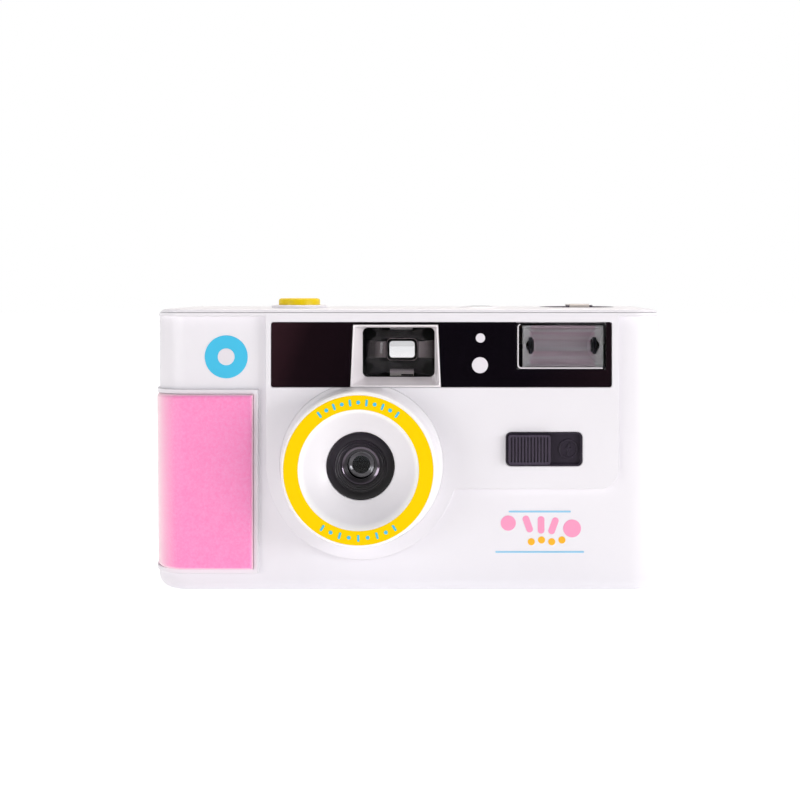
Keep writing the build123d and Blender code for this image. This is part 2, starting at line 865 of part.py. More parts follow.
def door_latch():
    """Black sliding latch: a nub outside, a stem through the wall and a hooked plate inside."""
    inner = right_x - wall
    high = latch_low_z + latch_height
    nub = block(right_x + fit, right_x + latch_proud, latch_y - latch_width / 2, latch_y + latch_width / 2,
                latch_low_z, high)
    nub = fillet(nub.faces().sort_by(Axis.X)[-1].edges(), 0.5)
    latch = nub + block(inner - fit - latch_plate_thickness, right_x + 1, latch_y - latch_stem_width / 2,
                        latch_y + latch_stem_width / 2, latch_low_z + latch_stem_inset,
                        high - latch_stem_inset)
    plate_right = inner - fit
    plate_left = plate_right - latch_plate_thickness
    plate_top = tongue_low_z - barb_drop - fit
    latch += block(plate_left, plate_right, latch_y - 2.0, latch_y + hook_far, latch_plate_low_z, plate_top)
    return latch


def hinge_pin():
    """Steel pin of the back door's hinge."""
    return upright(hinge_x, hinge_y, ear_low_z, ear_high_z + ear_height - 0.5, hinge_pin_radius)


def chamber(x, y, radius, low, high, gap=0.0):
    """A round film chamber, open to the back."""
    rear = film_y - film_channel + gap
    return upright(x, y, low, high, radius) + block(x - radius, x + radius, y, rear, low, high)


def film_chassis():
    """Black frame: floor, both film chambers, the gate plate with its rails, roofs and bosses."""
    rear = film_y - film_channel
    chassis = body_block(front_face_y, base_radius, chamber_floor_z, chamber_low_z)
    chassis &= body_slice(inner_front_y + 1, door_y - 2 * fit)
    outer_take_up = take_up_radius + chamber_wall
    outer_cassette = cassette_radius + chamber_wall
    left_roof = block(take_up_x - outer_take_up, roof_left_end_x, inner_front_y + 1, rear, chamber_high_z,
                      roof_z)
    right_roof = block(roof_right_start_x, cassette_x + outer_cassette, cassette_y - outer_cassette, rear,
                       chamber_high_z, roof_z)
    chassis += left_roof
    chassis += right_roof
    chassis += chamber(take_up_x, take_up_y, outer_take_up, chamber_floor_z, roof_z)
    chassis += chamber(cassette_x, cassette_y, outer_cassette, chamber_floor_z, roof_z)
    gate_left = take_up_x + take_up_radius
    gate_right = cassette_x - cassette_radius
    chassis += block(gate_left, gate_right, gate_front_y, rear, chamber_floor_z, gate_plate_high_z)
    chassis += block(sprocket_x - sprocket_bridge, gate_right, gate_front_y, rear, chamber_floor_z, roof_z)
    chassis &= body_slice(plate_y, rear)
    chassis &= body_block(front_face_y, wall + 3 * fit, chamber_floor_z, roof_z)
    chassis -= chamber(take_up_x, take_up_y, take_up_radius, chamber_low_z, chamber_high_z, cut_margin)
    chassis -= chamber(cassette_x, cassette_y, cassette_radius, chamber_low_z, chamber_high_z, cut_margin)
    for side in (-1, 1):
        rail_z = lens_z + side * (gate_height / 2 + rail_width)
        chassis += block(gate_left, gate_right, rear - fit, rear + film_channel / 2, rail_z - rail_width / 2,
                         rail_z + rail_width / 2)
    half_gate = gate_width / 2
    chassis -= block(lens_x - half_gate, lens_x + half_gate, 0, back_y, lens_z - gate_height / 2,
                     lens_z + gate_height / 2)
    drum_room = sprocket_drum_radius + sprocket_tooth_height + 0.5
    half_drum = sprocket_height / 2 + 0.4
    chassis -= block(sprocket_x - drum_room, sprocket_x + drum_room, gate_front_y - 1, rear + 1,
                     sprocket_row_z - half_drum, sprocket_row_z + half_drum)
    chassis -= upright(battery_x, battery_y, chamber_low_z, battery_top_z + battery_tube_roof + fit,
                       battery_tube_outer + fit)
    chassis -= battery_door_space(0.3) + battery_door_space(0.3).moved(Location((0, 0, chamber_low_z - wall)))
    for x, y in screw_places:
        chassis += upright(x, y, chamber_floor_z, screw_length + 1.5, boss_radius)
        chassis -= upright(x, y, 0, screw_length, screw_shank_radius)
    chassis -= upright(sprocket_x, sprocket_y, 0, roof_z + 1, sprocket_shaft_radius + running)
    chassis -= upright(sprocket_x, sprocket_y, 0, chamber_low_z - 0.8, rewind_button_flange + fit)
    chassis -= upright(take_up_x, take_up_y, chamber_high_z - 1, roof_z + 1, wheel_shaft_radius + running)
    chassis += upright(take_up_x, take_up_y, chamber_low_z - 0.5, chamber_low_z + spool_pin_length,
                       spool_pin_radius)
    chassis -= upright(cassette_x, cassette_y, chamber_high_z - 1, roof_z + 1, rewind_shaft_radius + running)
    chassis -= upright(button_x, button_y, chamber_high_z - 1, roof_z + 1, button_stem_radius + running)
    chassis += upright(sprocket_x, dial_y, roof_z - 0.5, dial_z + dial_thickness + 0.3, dial_pin_radius)
    bracket_y = button_y + lever_thickness / 2 + fit
    chassis += block(lever_pivot_x - 2, roof_left_end_x, bracket_y, bracket_y + 1.6, lever_pivot_z - 2,
                     chamber_high_z + 0.5)
    chassis += along_y(lever_pivot_x, lever_pivot_z, bracket_y - lever_thickness - 0.4, bracket_y + 0.5,
                       lever_pin_radius)
    return chassis


def battery_holder():
    """Black tube for the cell, closed at the top, on a foot that seats on the chassis floor."""
    half = battery_door_width / 2 + battery_foot_margin
    holder = upright(battery_x, battery_y, chamber_low_z, battery_top_z + battery_tube_roof,
                     battery_tube_outer)
    holder += block(battery_x - half, battery_x + half, inner_front_y + 2 * fit,
                    battery_y + battery_tube_outer, chamber_low_z, chamber_low_z + battery_foot_thickness)
    return holder - upright(battery_x, battery_y, 0, battery_top_z, battery_radius + battery_play)


def light_box():
    """Black tapered tunnel between the shutter and the film gate."""
    front = shutter_y + shutter_plate_thickness + blade_room
    rear = gate_front_y
    near = Pos(0, front, 0) * (Plane.XZ * light_box_section(light_box_front_width, light_box_front_height, 1))
    far = Pos(0, rear, 0) * (Plane.XZ * light_box_section(gate_width, gate_height, 1))
    outer = loft([near, far], ruled=True)
    start = front + light_box_wall
    share = light_box_wall / (rear - front)
    width = light_box_front_width + (gate_width - light_box_front_width) * share
    height = light_box_front_height + (gate_height - light_box_front_height) * share
    near = Pos(0, start, 0) * (Plane.XZ * light_box_section(width, height, 0))
    far = Pos(0, rear, 0) * (Plane.XZ * light_box_section(gate_width, gate_height, 0))
    return outer - loft([near, far], ruled=True) - along_y(lens_x, lens_z, front - 1, start + 1,
                                                           shutter_hole_radius)


def light_box_section(width, height, walls):
    """A rectangle round the lens axis, with or without the walls."""
    grow = 2 * light_box_wall * walls
    return Pos(lens_x, lens_z) * Rectangle(width + grow, height + grow)


def lens_housing():
    """White dished mount: a groove for the ring, and a flared foot cut level under the panel."""
    front = mount_front_y
    rim = mount_rim_radius
    dish_y = barrel_front_y + 0.3
    profile = [
        (barrel_radius + fit, inner_front_y - fit), (barrel_radius + fit, dish_y),
        (ring_inner_radius - 2 * dish_step, dish_y - dish_low_rise),
        (ring_inner_radius - dish_step, dish_y - dish_high_rise), (ring_inner_radius - 0.35, front + 0.25),
        (ring_inner_radius - 0.1, front), (ring_inner_radius, front),
        (ring_inner_radius, front + ring_thickness), (ring_outer_radius, front + ring_thickness),
        (ring_outer_radius, front), (rim - mount_edge / 2, front + 0.06), (rim, front + mount_edge),
        (rim + 0.05, plate_y - 3.0), (rim + 0.3, plate_y - 1.4), (mount_foot_radius - 0.65, plate_y - 0.5),
        (mount_foot_radius, plate_y), (spigot_radius, plate_y), (spigot_radius, inner_front_y - fit),
    ]
    housing = turned(profile, lens_x, lens_z)
    return housing - block(left_x, right_x, front - 1, back_y, panel_low_z - fit, body_height)


def lens_ring():
    """Yellow ring set in the front of the mount."""
    front = mount_front_y - ring_proud
    return turned([(ring_inner_radius, front), (ring_outer_radius, front), (ring_outer_radius, mount_front_y
                  + ring_thickness), (ring_inner_radius, mount_front_y + ring_thickness)], lens_x, lens_z)


def lens_barrel():
    """Black barrel with a dished front and stepped baffles, bored from the back for the glass."""
    front = barrel_front_y
    bore = element_radius + fit / 2
    lip_y = element_front_y() - fit / 2
    profile = [(bore, barrel_back_y), (bore, lip_y), (barrel_lip_radius, lip_y),
               (barrel_lip_radius, lip_y - 0.35),
               (barrel_step_radius - 0.15, lip_y - 0.75), (barrel_step_radius, lip_y - 1.1)]
    steps = 3
    for step in range(steps):
        radius = barrel_step_radius + 0.35 + step * 0.5
        y = lip_y - 1.1 - (lip_y - 1.1 - front - 0.25) * step / steps
        profile += [(radius, y), (radius + 0.25, y - 0.28)]
    profile += [(barrel_radius - 0.5, front), (barrel_radius - 0.12, front + 0.08),
                (barrel_radius, front + 0.4),
                (barrel_radius, barrel_back_y)]
    return turned(profile, lens_x, lens_z)


def element_front_y():
    """The front of the first lens element, counted from the back of the barrel."""
    stack = 2 * element_thickness + stop_thickness + retainer_thickness + 3 * fit / 2
    return barrel_back_y - stack


def lens_element(front, bulge_front, bulge_back):
    """A round lens, its faces cut by balls of the radius that gives each bulge."""
    back = front + element_thickness
    glass = along_y(lens_x, lens_z, front - 1, back + 1, element_radius)
    for y, bulge, side in ((front, bulge_front, 1), (back, bulge_back, -1)):
        radius = (element_radius**2 + bulge**2) / (2 * bulge)
        glass &= Pos(lens_x, y + side * radius, lens_z) * Sphere(radius)
    return glass


def front_lens():
    """First glass, curved outwards at the front."""
    return lens_element(element_front_y(), 0.45, 0.05)


def aperture_plate():
    """Black disc with the fixed stop."""
    front = element_front_y() + element_thickness + fit / 2
    return along_y(lens_x, lens_z, front, front + stop_thickness, element_radius) - along_y(
        lens_x, lens_z, front - 1, front + 1, stop_radius)


def rear_lens():
    """Second glass, curved outwards at the back."""
    return lens_element(element_front_y() + element_thickness + stop_thickness + fit, 0.05, 0.35)


def lens_retainer():
    """Snap ring that holds the glass in the barrel."""
    front = barrel_back_y - retainer_thickness
    return along_y(lens_x, lens_z, front, barrel_back_y, element_radius) - along_y(
        lens_x, lens_z, front - 1, barrel_back_y + 1, barrel_lip_radius)


def shutter_plate():
    """Black carrier behind the lens, with the blade's pivot and a post for its spring."""
    low = lens_z - shutter_plate_height / 2
    plate = block(lens_x - shutter_plate_width / 2, lens_x + shutter_plate_width / 2, shutter_y,
                  shutter_y + shutter_plate_thickness, low, low + shutter_plate_height)
    plate -= along_y(lens_x, lens_z, shutter_y - 1, shutter_y + 2, shutter_hole_radius)
    pivot_end = shutter_y + shutter_plate_thickness + blade_room - fit
    plate += along_y(lens_x + blade_pivot_x, lens_z, shutter_y + 0.5, pivot_end, blade_pivot_radius)
    post_x, post_z = shutter_post()
    plate += along_y(post_x, post_z, shutter_y + 0.5, shutter_spring_y() + 0.6, shutter_post_radius)
    return plate


def shutter_post():
    """Where the shutter spring is anchored."""
    return lens_x + blade_pivot_x + blade_tail, lens_z + shutter_spring_length + 1.2


def shutter_spring_y():
    """Depth of the shutter spring's centre line."""
    return shutter_y + shutter_plate_thickness + blade_room + shutter_spring_radius


def shutter_blade():
    """Thin metal blade that covers the hole at rest."""
    front = shutter_y + shutter_plate_thickness + blade_gap
    back = front + blade_thickness
    pivot = lens_x + blade_pivot_x
    blade = along_y(lens_x, lens_z, front, back, blade_radius)
    blade += block(lens_x, pivot + blade_tail + 0.6, front, back, lens_z - 1.9, lens_z + 1.9)
    blade += along_y(pivot + blade_tail, lens_z, front, shutter_spring_y() + 0.4, shutter_post_radius)
    return blade - along_y(pivot, lens_z, front - 1, back + 1, blade_pivot_radius + running)


def coil(radius, wire, length, turns):
    """A standing coil spring from height 0, made of round wire."""
    path = Helix(pitch=(length - wire) / turns, height=length - wire, radius=radius)
    section = Plane(origin=path @ 0, z_dir=path % 0) * Circle(wire / 2)
    return Pos(0, 0, wire / 2) * sweep(section, path=path, is_frenet=True)


def shutter_spring():
    """Small spring that pulls the blade shut."""
    post_x, post_z = shutter_post()
    shape = coil(shutter_spring_radius - shutter_spring_wire / 2, shutter_spring_wire, shutter_spring_length,
                 shutter_spring_turns)
    return Pos(post_x, shutter_spring_y(), lens_z + 0.7) * shape


def release_lever():
    """Bar that carries the button's push to the shutter."""
    y0 = button_y - lever_thickness / 2
    y1 = button_y + lever_thickness / 2
    top = button_stem_low_z - fit
    lever = block(button_x - lever_tip, lever_pivot_x, y0, y1, lever_pivot_z - 0.6, lever_pivot_z + 1.2)
    lever += block(button_x - lever_tip, button_x + lever_tip, y0, y1, lever_pivot_z - 0.6, top)
    lever += along_y(lever_pivot_x, lever_pivot_z, y0, y1, 1.9)
    lever += block(lever_pivot_x, lever_pivot_x + 3.5, y0, y1, lever_pivot_z - 1.8, lever_pivot_z - 0.6)
    return lever - along_y(lever_pivot_x, lever_pivot_z, y0 - 1, y1 + 1, lever_pin_radius + running)


def shutter_button():
    """Yellow button: a domed cap, hollow for its spring, on a stem."""
    cap = spun([(0, button_stem_low_z), (button_stem_radius, button_stem_low_z),
                (button_stem_radius, cap_roof_z()),
                (button_cap_inner, cap_roof_z()), (button_cap_inner, button_low_z),
                (button_radius, button_low_z),
                (button_radius, button_top_z - 0.55), (button_radius - 0.16, button_top_z - 0.2),
                (button_radius - 0.5, button_top_z - 0.03), (0, button_top_z)], button_x, button_y)
    return cap


def cap_roof_z():
    """The inside of the button's cap."""
    return button_top_z - 1.2


def button_spring():
    """Spring under the button's cap."""
    length = cap_roof_z() - well_floor_z - fit
    shape = coil(button_spring_radius, button_spring_wire, length, button_spring_turns)
    return Pos(button_x, button_y, well_floor_z + fit / 2) * shape


def toothed_disc(radius, depth, teeth, thickness):
    """A disc with straight-sided teeth or knurls."""
    points = []
    for tooth in range(teeth):
        for part, reach in ((0.0, radius), (0.3, radius), (0.5, radius - depth), (0.8, radius - depth)):
            angle = 2 * math.pi * (tooth + part) / teeth
            points.append((reach * math.cos(angle), reach * math.sin(angle)))
    return extrude(make_face(Polyline(*points, close=True)), thickness)


def thumb_wheel():
    """Black advance wheel whose edge stands out at the back, on a shaft to the spool."""
    disc = toothed_disc(wheel_radius, wheel_tooth_depth, wheel_teeth, wheel_thickness)
    wheel = Pos(take_up_x, take_up_y, wheel_low_z) * disc
    wheel -= upright(take_up_x, take_up_y, wheel_low_z + 1.4, wheel_low_z + wheel_thickness + 1,
                     wheel_radius - 3.5)
    return wheel + upright(take_up_x, take_up_y, spool_top_z(), wheel_low_z + wheel_thickness - 0.6,
                           wheel_shaft_radius)


def spool_top_z():
    """The top of the take-up spool."""
    return chamber_high_z - 0.4


def take_up_spool():
    """Black spool that winds the film, with two slots for the film's end."""
    low = chamber_low_z + 0.4
    spool = upright(take_up_x, take_up_y, low, spool_top_z(), spool_radius)
    spool += upright(take_up_x, take_up_y, low, low + spool_flange, spool_flange_radius)
    spool += upright(take_up_x, take_up_y, spool_top_z() - spool_flange, spool_top_z(), spool_flange_radius)
    spool -= upright(take_up_x, take_up_y, low + spool_foot, spool_top_z() - spool_cap, spool_radius - spool_wall)
    for side in (-1, 1):
        spool -= block(take_up_x + side * spool_radius - 3, take_up_x + side * spool_radius + 3,
                       take_up_y - spool_slot / 2, take_up_y + spool_slot / 2, film_low_z, film_high_z)
    return spool - upright(take_up_x, take_up_y, 0, chamber_low_z + spool_pin_length + 0.5,
                           spool_pin_radius + running)


def sprocket():
    """Film sprocket on its long shaft, with the cam that steps the counter."""
    low = sprocket_row_z - sprocket_height / 2
    shape = upright(sprocket_x, sprocket_y, low, low + sprocket_height, sprocket_drum_radius)
    for tooth in range(sprocket_teeth):
        angle = 90 + 360 * tooth / sprocket_teeth
        peg = Pos(sprocket_drum_radius + sprocket_tooth_height / 2 - 0.1, 0, sprocket_row_z) * Box(
            sprocket_tooth_height + 0.2, 1.5, 1.9)
        peg = chamfer(peg.faces().sort_by(Axis.X)[-1].edges(), 0.35)
        shape += Pos(sprocket_x, sprocket_y, 0) * Rot(0, 0, angle) * peg
    shape += upright(sprocket_x, sprocket_y, sprocket_low_z, dial_z + dial_thickness, sprocket_shaft_radius)
    return shape + upright(sprocket_x, sprocket_y, dial_z, dial_z + dial_thickness, cam_radius)


def counter_dial():
    """White frame counter dial under its window."""
    dial = Pos(sprocket_x, dial_y, dial_z) * toothed_disc(dial_radius, 0.3, dial_teeth, dial_thickness)
    return dial - upright(sprocket_x, dial_y, dial_z - 1, dial_z + dial_thickness + 1,
                          dial_pin_radius + running)


def counter_window():
    """Clear window over the counter dial, with a low dome."""
    low = body_height - counter_window_thickness + counter_mound
    top = body_height + counter_mound
    return spun([(0, low), (counter_window_radius, low), (counter_window_radius, top - 0.15),
                 (counter_window_radius - 0.6, top + 0.02), (counter_window_radius - 1.8, top + 0.15),
                 (0, top + 0.2)], sprocket_x, counter_window_y)


def rewind_shaft():
    """Black shaft whose forked end turns the cassette's spool."""
    shaft = upright(cassette_x, cassette_y, rewind_fork_z, hub_low_z(), rewind_shaft_radius)
    half = rewind_fork_slot / 2
    return shaft - block(cassette_x - half, cassette_x + half, cassette_y - 5, cassette_y + 5,
                         rewind_fork_z - 1,
                         rewind_fork_z + rewind_fork_depth)


def rewind_bush():
    """Turning collar on the chassis roof that the rewind shaft lifts through."""
    low = roof_z + fit
    high = rewind_well_floor_z - wall - 2 * fit
    bush = spun([(rewind_shaft_radius + running, low), (bush_radius, low), (bush_radius, low + 1.0),
                 (bush_radius - 1.2, high), (rewind_shaft_radius + running, high)], cassette_x, cassette_y)
    return bush


def hub_low_z():
    """The underside of the rewind hub."""
    return rewind_well_floor_z + 2 * fit


def rewind_hub():
    """Dark dish in the lid's well, its rim just proud of the top, with two ears for the crank."""
    low = hub_low_z()
    high = low + rewind_hub_thickness
    inside = rewind_hub_radius - rewind_hub_rim
    hub = spun([(0, low), (rewind_hub_radius, low), (rewind_hub_radius, hub_rim_z - 0.2),
                (rewind_hub_radius - 0.2, hub_rim_z), (inside + 0.2, hub_rim_z), (inside, hub_rim_z - 0.2),
                (inside, high), (0, high)], cassette_x, cassette_y)
    for side in (-1, 1):
        near = cassette_x + side * (crank_width / 2 + fit)
        far = cassette_x + side * (crank_width / 2 + crank_ear)
        hub += block(min(near, far), max(near, far), crank_pivot_y - 0.9, crank_pivot_y + 1.4, high - 0.2,
                     crank_z + crank_thickness - crank_ear_drop)
    reach = crank_width / 2 + crank_ear
    return hub + along_x(crank_pivot_y, crank_pin_z, cassette_x - reach, cassette_x + reach, crank_pin_radius)


def rewind_crank():
    """Pale folding arm with a round end over its knob."""
    left = cassette_x - crank_width / 2
    right = cassette_x + crank_width / 2
    arm = block(left, right, crank_pivot_y, crank_knob_y, crank_z, crank_z + crank_thickness)
    arm += upright(cassette_x, crank_knob_y, crank_z, crank_z + crank_thickness, crank_width / 2)
    arm += along_x(crank_pivot_y, crank_pin_z, left, right, crank_thickness / 2 + 0.25)
    arm += upright(cassette_x, crank_knob_y, crank_z - crank_knob_height - 0.2, crank_z + 0.5,
                   crank_stud_radius)
    return arm - along_x(crank_pivot_y, crank_pin_z, left - 1, right + 1, crank_pin_radius + running)


def crank_knob():
    """Small knob under the crank's end."""
    high = crank_z - fit
    knob = upright(cassette_x, crank_knob_y, high - crank_knob_height, high, crank_knob_radius)
    return knob - upright(cassette_x, crank_knob_y, high - crank_knob_height - 1, high + 1,
                          crank_stud_radius + running)


def rewind_button():
    """Button in the base that frees the sprocket, with the pin that reaches its shaft."""
    shape = upright(sprocket_x, sprocket_y, rewind_button_sink, wall, rewind_button_radius)
    shape = fillet(shape.edges().group_by(Axis.Z)[0], 0.3)
    shape += upright(sprocket_x, sprocket_y, wall - 0.2, wall + fit, rewind_button_radius)
    shape += upright(sprocket_x, sprocket_y, wall + fit, wall + fit + 0.4, rewind_button_flange)
    return shape + upright(sprocket_x, sprocket_y, wall, sprocket_low_z - rewind_button_travel - 0.2, 0.9)


def pressure_plate():
    """Black plate on the door that keeps the film flat."""
    front = film_y + fit
    plate = block(lens_x - plate_pad_width / 2, lens_x + plate_pad_width / 2, front,
                  front + plate_pad_thickness,
                  lens_z - plate_pad_height / 2, lens_z + plate_pad_height / 2)
    return chamfer(plate.faces().sort_by(Axis.Y)[0].edges().filter_by(Axis.Z), 0.5)


def pressure_spring():
    """Bowed leaf spring between the door and the pressure plate."""
    near = film_y + fit + plate_pad_thickness + fit / 2
    far = back_y - wall - fit / 2
    half = pad_spring_length / 2
    t = pad_spring_thickness
    outer = ThreePointArc((lens_x - half, near + t), (lens_x, far), (lens_x + half, near + t))
    inner = ThreePointArc((lens_x + half, near), (lens_x, far - t), (lens_x - half, near))
    face = make_face(outer + Line((lens_x + half, near + t), (lens_x + half, near)) + inner
                     + Line((lens_x - half, near), (lens_x - half, near + t)))
    return extrude(Pos(0, 0, lens_z - pad_spring_width / 2) * face, pad_spring_width)


def latch_spring():
    """Spring that lifts the door latch."""
    length = latch_plate_low_z - latch_spring_low_z - fit
    spring = coil(latch_spring_radius, latch_spring_wire, length, latch_spring_turns)
    return Pos(latch_spring_x, latch_y, latch_spring_low_z + fit / 2) * spring


def grip_pad():
    """Pink rubber pad that wraps the left front corner and bulges at the front."""
    outer = body_block(front_face_y - grip_front_bulge + grip_bulge, -grip_bulge, 0, lid_seam_z)
    inner = body_block(front_face_y, grip_pocket, -1, lid_seam_z + 1)
    pad = (outer & grip_region(0, 0)) - inner
    outer_edges = [edge for edge in pad.edges() if edge.distance_to(inner) > grip_bulge]
    return fillet(outer_edges, grip_edge)


def window_panel():
    """Glossy black panel with openings for the viewfinder hood and the flash window."""
    panel = front_rectangle(panel_left_x, panel_right_x, panel_low_z, panel_high_z, panel_corner)
    shape = from_front(panel, plate_y, plate_y + panel_thickness)
    shape -= from_front(hood_outline(fit), plate_y - 1, plate_y + 5)
    flash = front_rectangle(flash_left_x - fit, flash_right_x + fit, flash_low_z - fit, panel_high_z + 1)
    return shape - from_front(flash, plate_y - 1, plate_y + 5)


def viewfinder_hood():
    """Pale frame that tapers in to the finder's mouth."""
    back = plate_y + hood_depth
    shape = from_front(hood_outline(0), plate_y, back)
    opening = hood_outline(-hood_edge)
    opening = fillet(opening.vertices(), 0.3)
    mouth = front_rectangle(hood_mouth_left_x, hood_mouth_right_x, hood_mouth_low_z, hood_mouth_high_z,
                            hood_mouth_corner)
    near = Pos(0, plate_y, 0) * (Plane.XZ * opening)
    far = Pos(0, back, 0) * (Plane.XZ * mouth)
    return shape - loft([near, far], ruled=True)


def viewfinder_lens():
    """Clear front element, hollow on its inner face."""
    front = plate_y + hood_depth + fit
    margin = finder_lens_margin
    outline = front_rectangle(hood_mouth_left_x - margin, hood_mouth_right_x + margin,
                              hood_mouth_low_z - margin,
                              hood_mouth_high_z + margin)
    outline = chamfer(outline.vertices(), 1.6)
    shape = from_front(outline, front, front + finder_lens_thickness)
    centre_x = (hood_mouth_left_x + hood_mouth_right_x) / 2
    return shape - Pos(centre_x, front + 0.5 + finder_hollow_radius, finder_z) * Sphere(finder_hollow_radius)


def viewfinder_tunnel():
    """Black tube from the finder lens to the eyepiece, wide at the front."""
    margin = finder_lens_margin
    front = tunnel_start_y
    step = front + tunnel_front_depth
    back = back_y - wall - eyepiece_thickness + eyepiece_recess
    wide = front_rectangle(hood_mouth_left_x - margin, hood_mouth_right_x + margin, hood_mouth_low_z - margin,
                           hood_mouth_high_z + margin)
    inner = front_rectangle(hood_mouth_left_x, hood_mouth_right_x, hood_mouth_low_z, hood_mouth_high_z)
    tube = Pos(finder_x, finder_z) * Rectangle(tunnel_width + 2 * tunnel_wall,
                                               tunnel_height + 2 * tunnel_wall)
    bore = Pos(finder_x, finder_z) * Rectangle(tunnel_width, tunnel_height)
    tunnel = from_front(wide, front, step) + from_front(tube, step - 0.5, back)
    tunnel -= from_front(inner, front - 1, step - tunnel_wall)
    return tunnel - from_front(bore, front, back + 1)


def eyepiece_lens():
    """Clear rear element of the viewfinder."""
    half_width = eyepiece_width / 2 - fit
    half_height = eyepiece_height / 2 - fit
    outline = front_rectangle(finder_x - half_width, finder_x + half_width, finder_z - half_height,
                              finder_z + half_height, 0.7)
    front = back_y - wall - eyepiece_thickness + eyepiece_recess + fit
    return from_front(outline, front, front + eyepiece_thickness)


def flash_window():
    """Clear window with fine ribs on its inner face."""
    outline = front_rectangle(flash_left_x, flash_right_x, flash_low_z, flash_high_z, flash_window_corner)
    back = plate_y + flash_window_thickness
    window = from_front(outline, plate_y - flash_window_proud, back)
    pitch = (flash_high_z - flash_low_z - 1.6) / flash_rib_count
    for rib in range(flash_rib_count):
        low = flash_low_z + 0.8 + (rib + 0.25) * pitch
        window -= block(reflector_left_x, reflector_right_x, back - flash_rib_depth, back + 1, low,
                        low + pitch / 2)
    return window


def reflector_section(shrink):
    """The reflector's trough seen from the side, as a face of (y, z)."""
    mouth = plate_y + flash_window_thickness + fit
    low = flash_low_z + 0.5 + shrink
    high = flash_high_z - 0.5 - shrink
    deep = mouth + reflector_depth - shrink
    curve = ThreePointArc((mouth, low), (deep, (low + high) / 2), (mouth, high))
    return make_face(curve + Line((mouth, high), (mouth, low)))


def reflector_space(shrink):
    """The trough's curve from side to side, drawn in towards the back at both ends."""
    mouth = plate_y + flash_window_thickness + fit
    deep = mouth + reflector_depth
    left = reflector_left_x + shrink
    right = reflector_right_x - shrink
    plan = make_face(Polyline((left, mouth), (right, mouth), (right - reflector_end_slope, deep),
                              (left + reflector_end_slope, deep), close=True))
    trough = Pos(left, 0, 0) * extrude(Plane.YZ * reflector_section(shrink), right - left)
    return trough & extrude(Pos(0, 0, flash_low_z) * plan, flash_high_z - flash_low_z)


def flash_reflector():
    """Silver trough with sloping ends, pierced for the tube."""
    bore = along_x(flash_tube_y(), flash_tube_z, flash_left_x, flash_right_x, flash_tube_radius + fit / 2)
    return reflector_space(0) - reflector_space(reflector_wall) - bore


def flash_tube_y():
    """Depth of the flash tube's centre line."""
    return plate_y + flash_window_thickness + reflector_depth * 0.45


def flash_tube():
    """Glass tube across the reflector."""
    middle = (reflector_left_x + reflector_right_x) / 2
    return along_x(flash_tube_y(), flash_tube_z, middle - flash_tube_length / 2,
                   middle + flash_tube_length / 2,
                   flash_tube_radius)


def flash_board():
    """Circuit board of the flash, behind the switch."""
    front = inner_front_y + board_stand
    return block(board_left_x, board_right_x, front, front + board_thickness, board_low_z, board_high_z)


def flash_capacitor():
    """Black storage capacitor, lying under the light box."""
    z = chamber_low_z + capacitor_radius + fit
    return along_x(capacitor_y, z, lens_x - capacitor_length / 2, lens_x + capacitor_length / 2,
                   capacitor_radius)


def flash_transformer():
    """Small transformer on the flash board."""
    front = inner_front_y + board_stand + board_thickness
    return block(board_left_x, board_left_x + transformer_width, front, front + transformer_depth,
                 transformer_z,
                 transformer_z + transformer_height)


def ready_lamp():
    """Lamp beside the eyepiece that shows when the flash is charged."""
    lamp = along_y(lamp_x, lamp_z, back_y - 4.5, back_y + 0.3, lamp_radius)
    return lamp + along_y(lamp_x, lamp_z, back_y - 4.5, back_y - wall - fit, lamp_radius + 0.5)


def battery_contact():
    """Spring plate at the top of the battery's compartment."""
    return upright(battery_x, battery_y, battery_top_z - contact_thickness, battery_top_z, 3.5)


def battery_door():
    """Small door in the base, hinged at its rear edge."""
    y, z = battery_hinge_line()
    half = battery_door_width / 2
    front = battery_y - battery_door_depth / 2
    door = block(battery_x - half, battery_x + half, front, y, battery_door_sink, battery_door_sink
                 + battery_door_thickness)
    door += along_x(y, z, battery_x - half, battery_x + half, battery_hinge_radius)
    reach = half + battery_pin_length
    door += along_x(y, z, battery_x - reach, battery_x + reach, battery_pin_radius)
    for groove in range(3):
        start = front + 1.2 + groove * 1.2
        door -= block(battery_x - 3, battery_x + 3, start, start + 0.5, battery_door_sink - 1,
                      battery_door_sink + 0.35)
    return door


def door_contact():
    """Metal contact riveted inside the battery door."""
    high = battery_door_sink + battery_door_thickness
    return upright(battery_x, battery_y, high, high + contact_thickness, 3.5)


def switch_tray():
    """Dark tray of the flash switch, with a low rim and an embossed ring."""
    outline = front_rectangle(switch_left_x, switch_right_x, switch_low_z, switch_high_z, switch_corner)
    tray = from_front(outline, plate_y - tray_proud, plate_y + tray_back_depth)
    inside = front_rectangle(switch_left_x + tray_rim, switch_right_x - tray_rim, switch_low_z + tray_rim,
                             switch_high_z - tray_rim, switch_corner - tray_rim)
    floor_y = plate_y + tray_floor_depth
    tray -= from_front(inside, plate_y - 1, floor_y)
    x = switch_right_x - symbol_inset
    z = (switch_low_z + switch_high_z) / 2
    ring = Circle(symbol_radius) - Circle(symbol_radius - symbol_line)
    reach = symbol_radius - 2 * symbol_line
    bolt = make_face(Polyline((0.35, reach), (-0.75, -0.15), (-0.1, -0.15), (-0.35, -reach), (0.75, 0.25),
                              (0.1, 0.25), close=True))
    tray += from_front(Pos(x, z) * (ring + bolt), floor_y - symbol_height, floor_y + fit)
    return tray - switch_slot(plate_y - 1, plate_y + 5, fit)


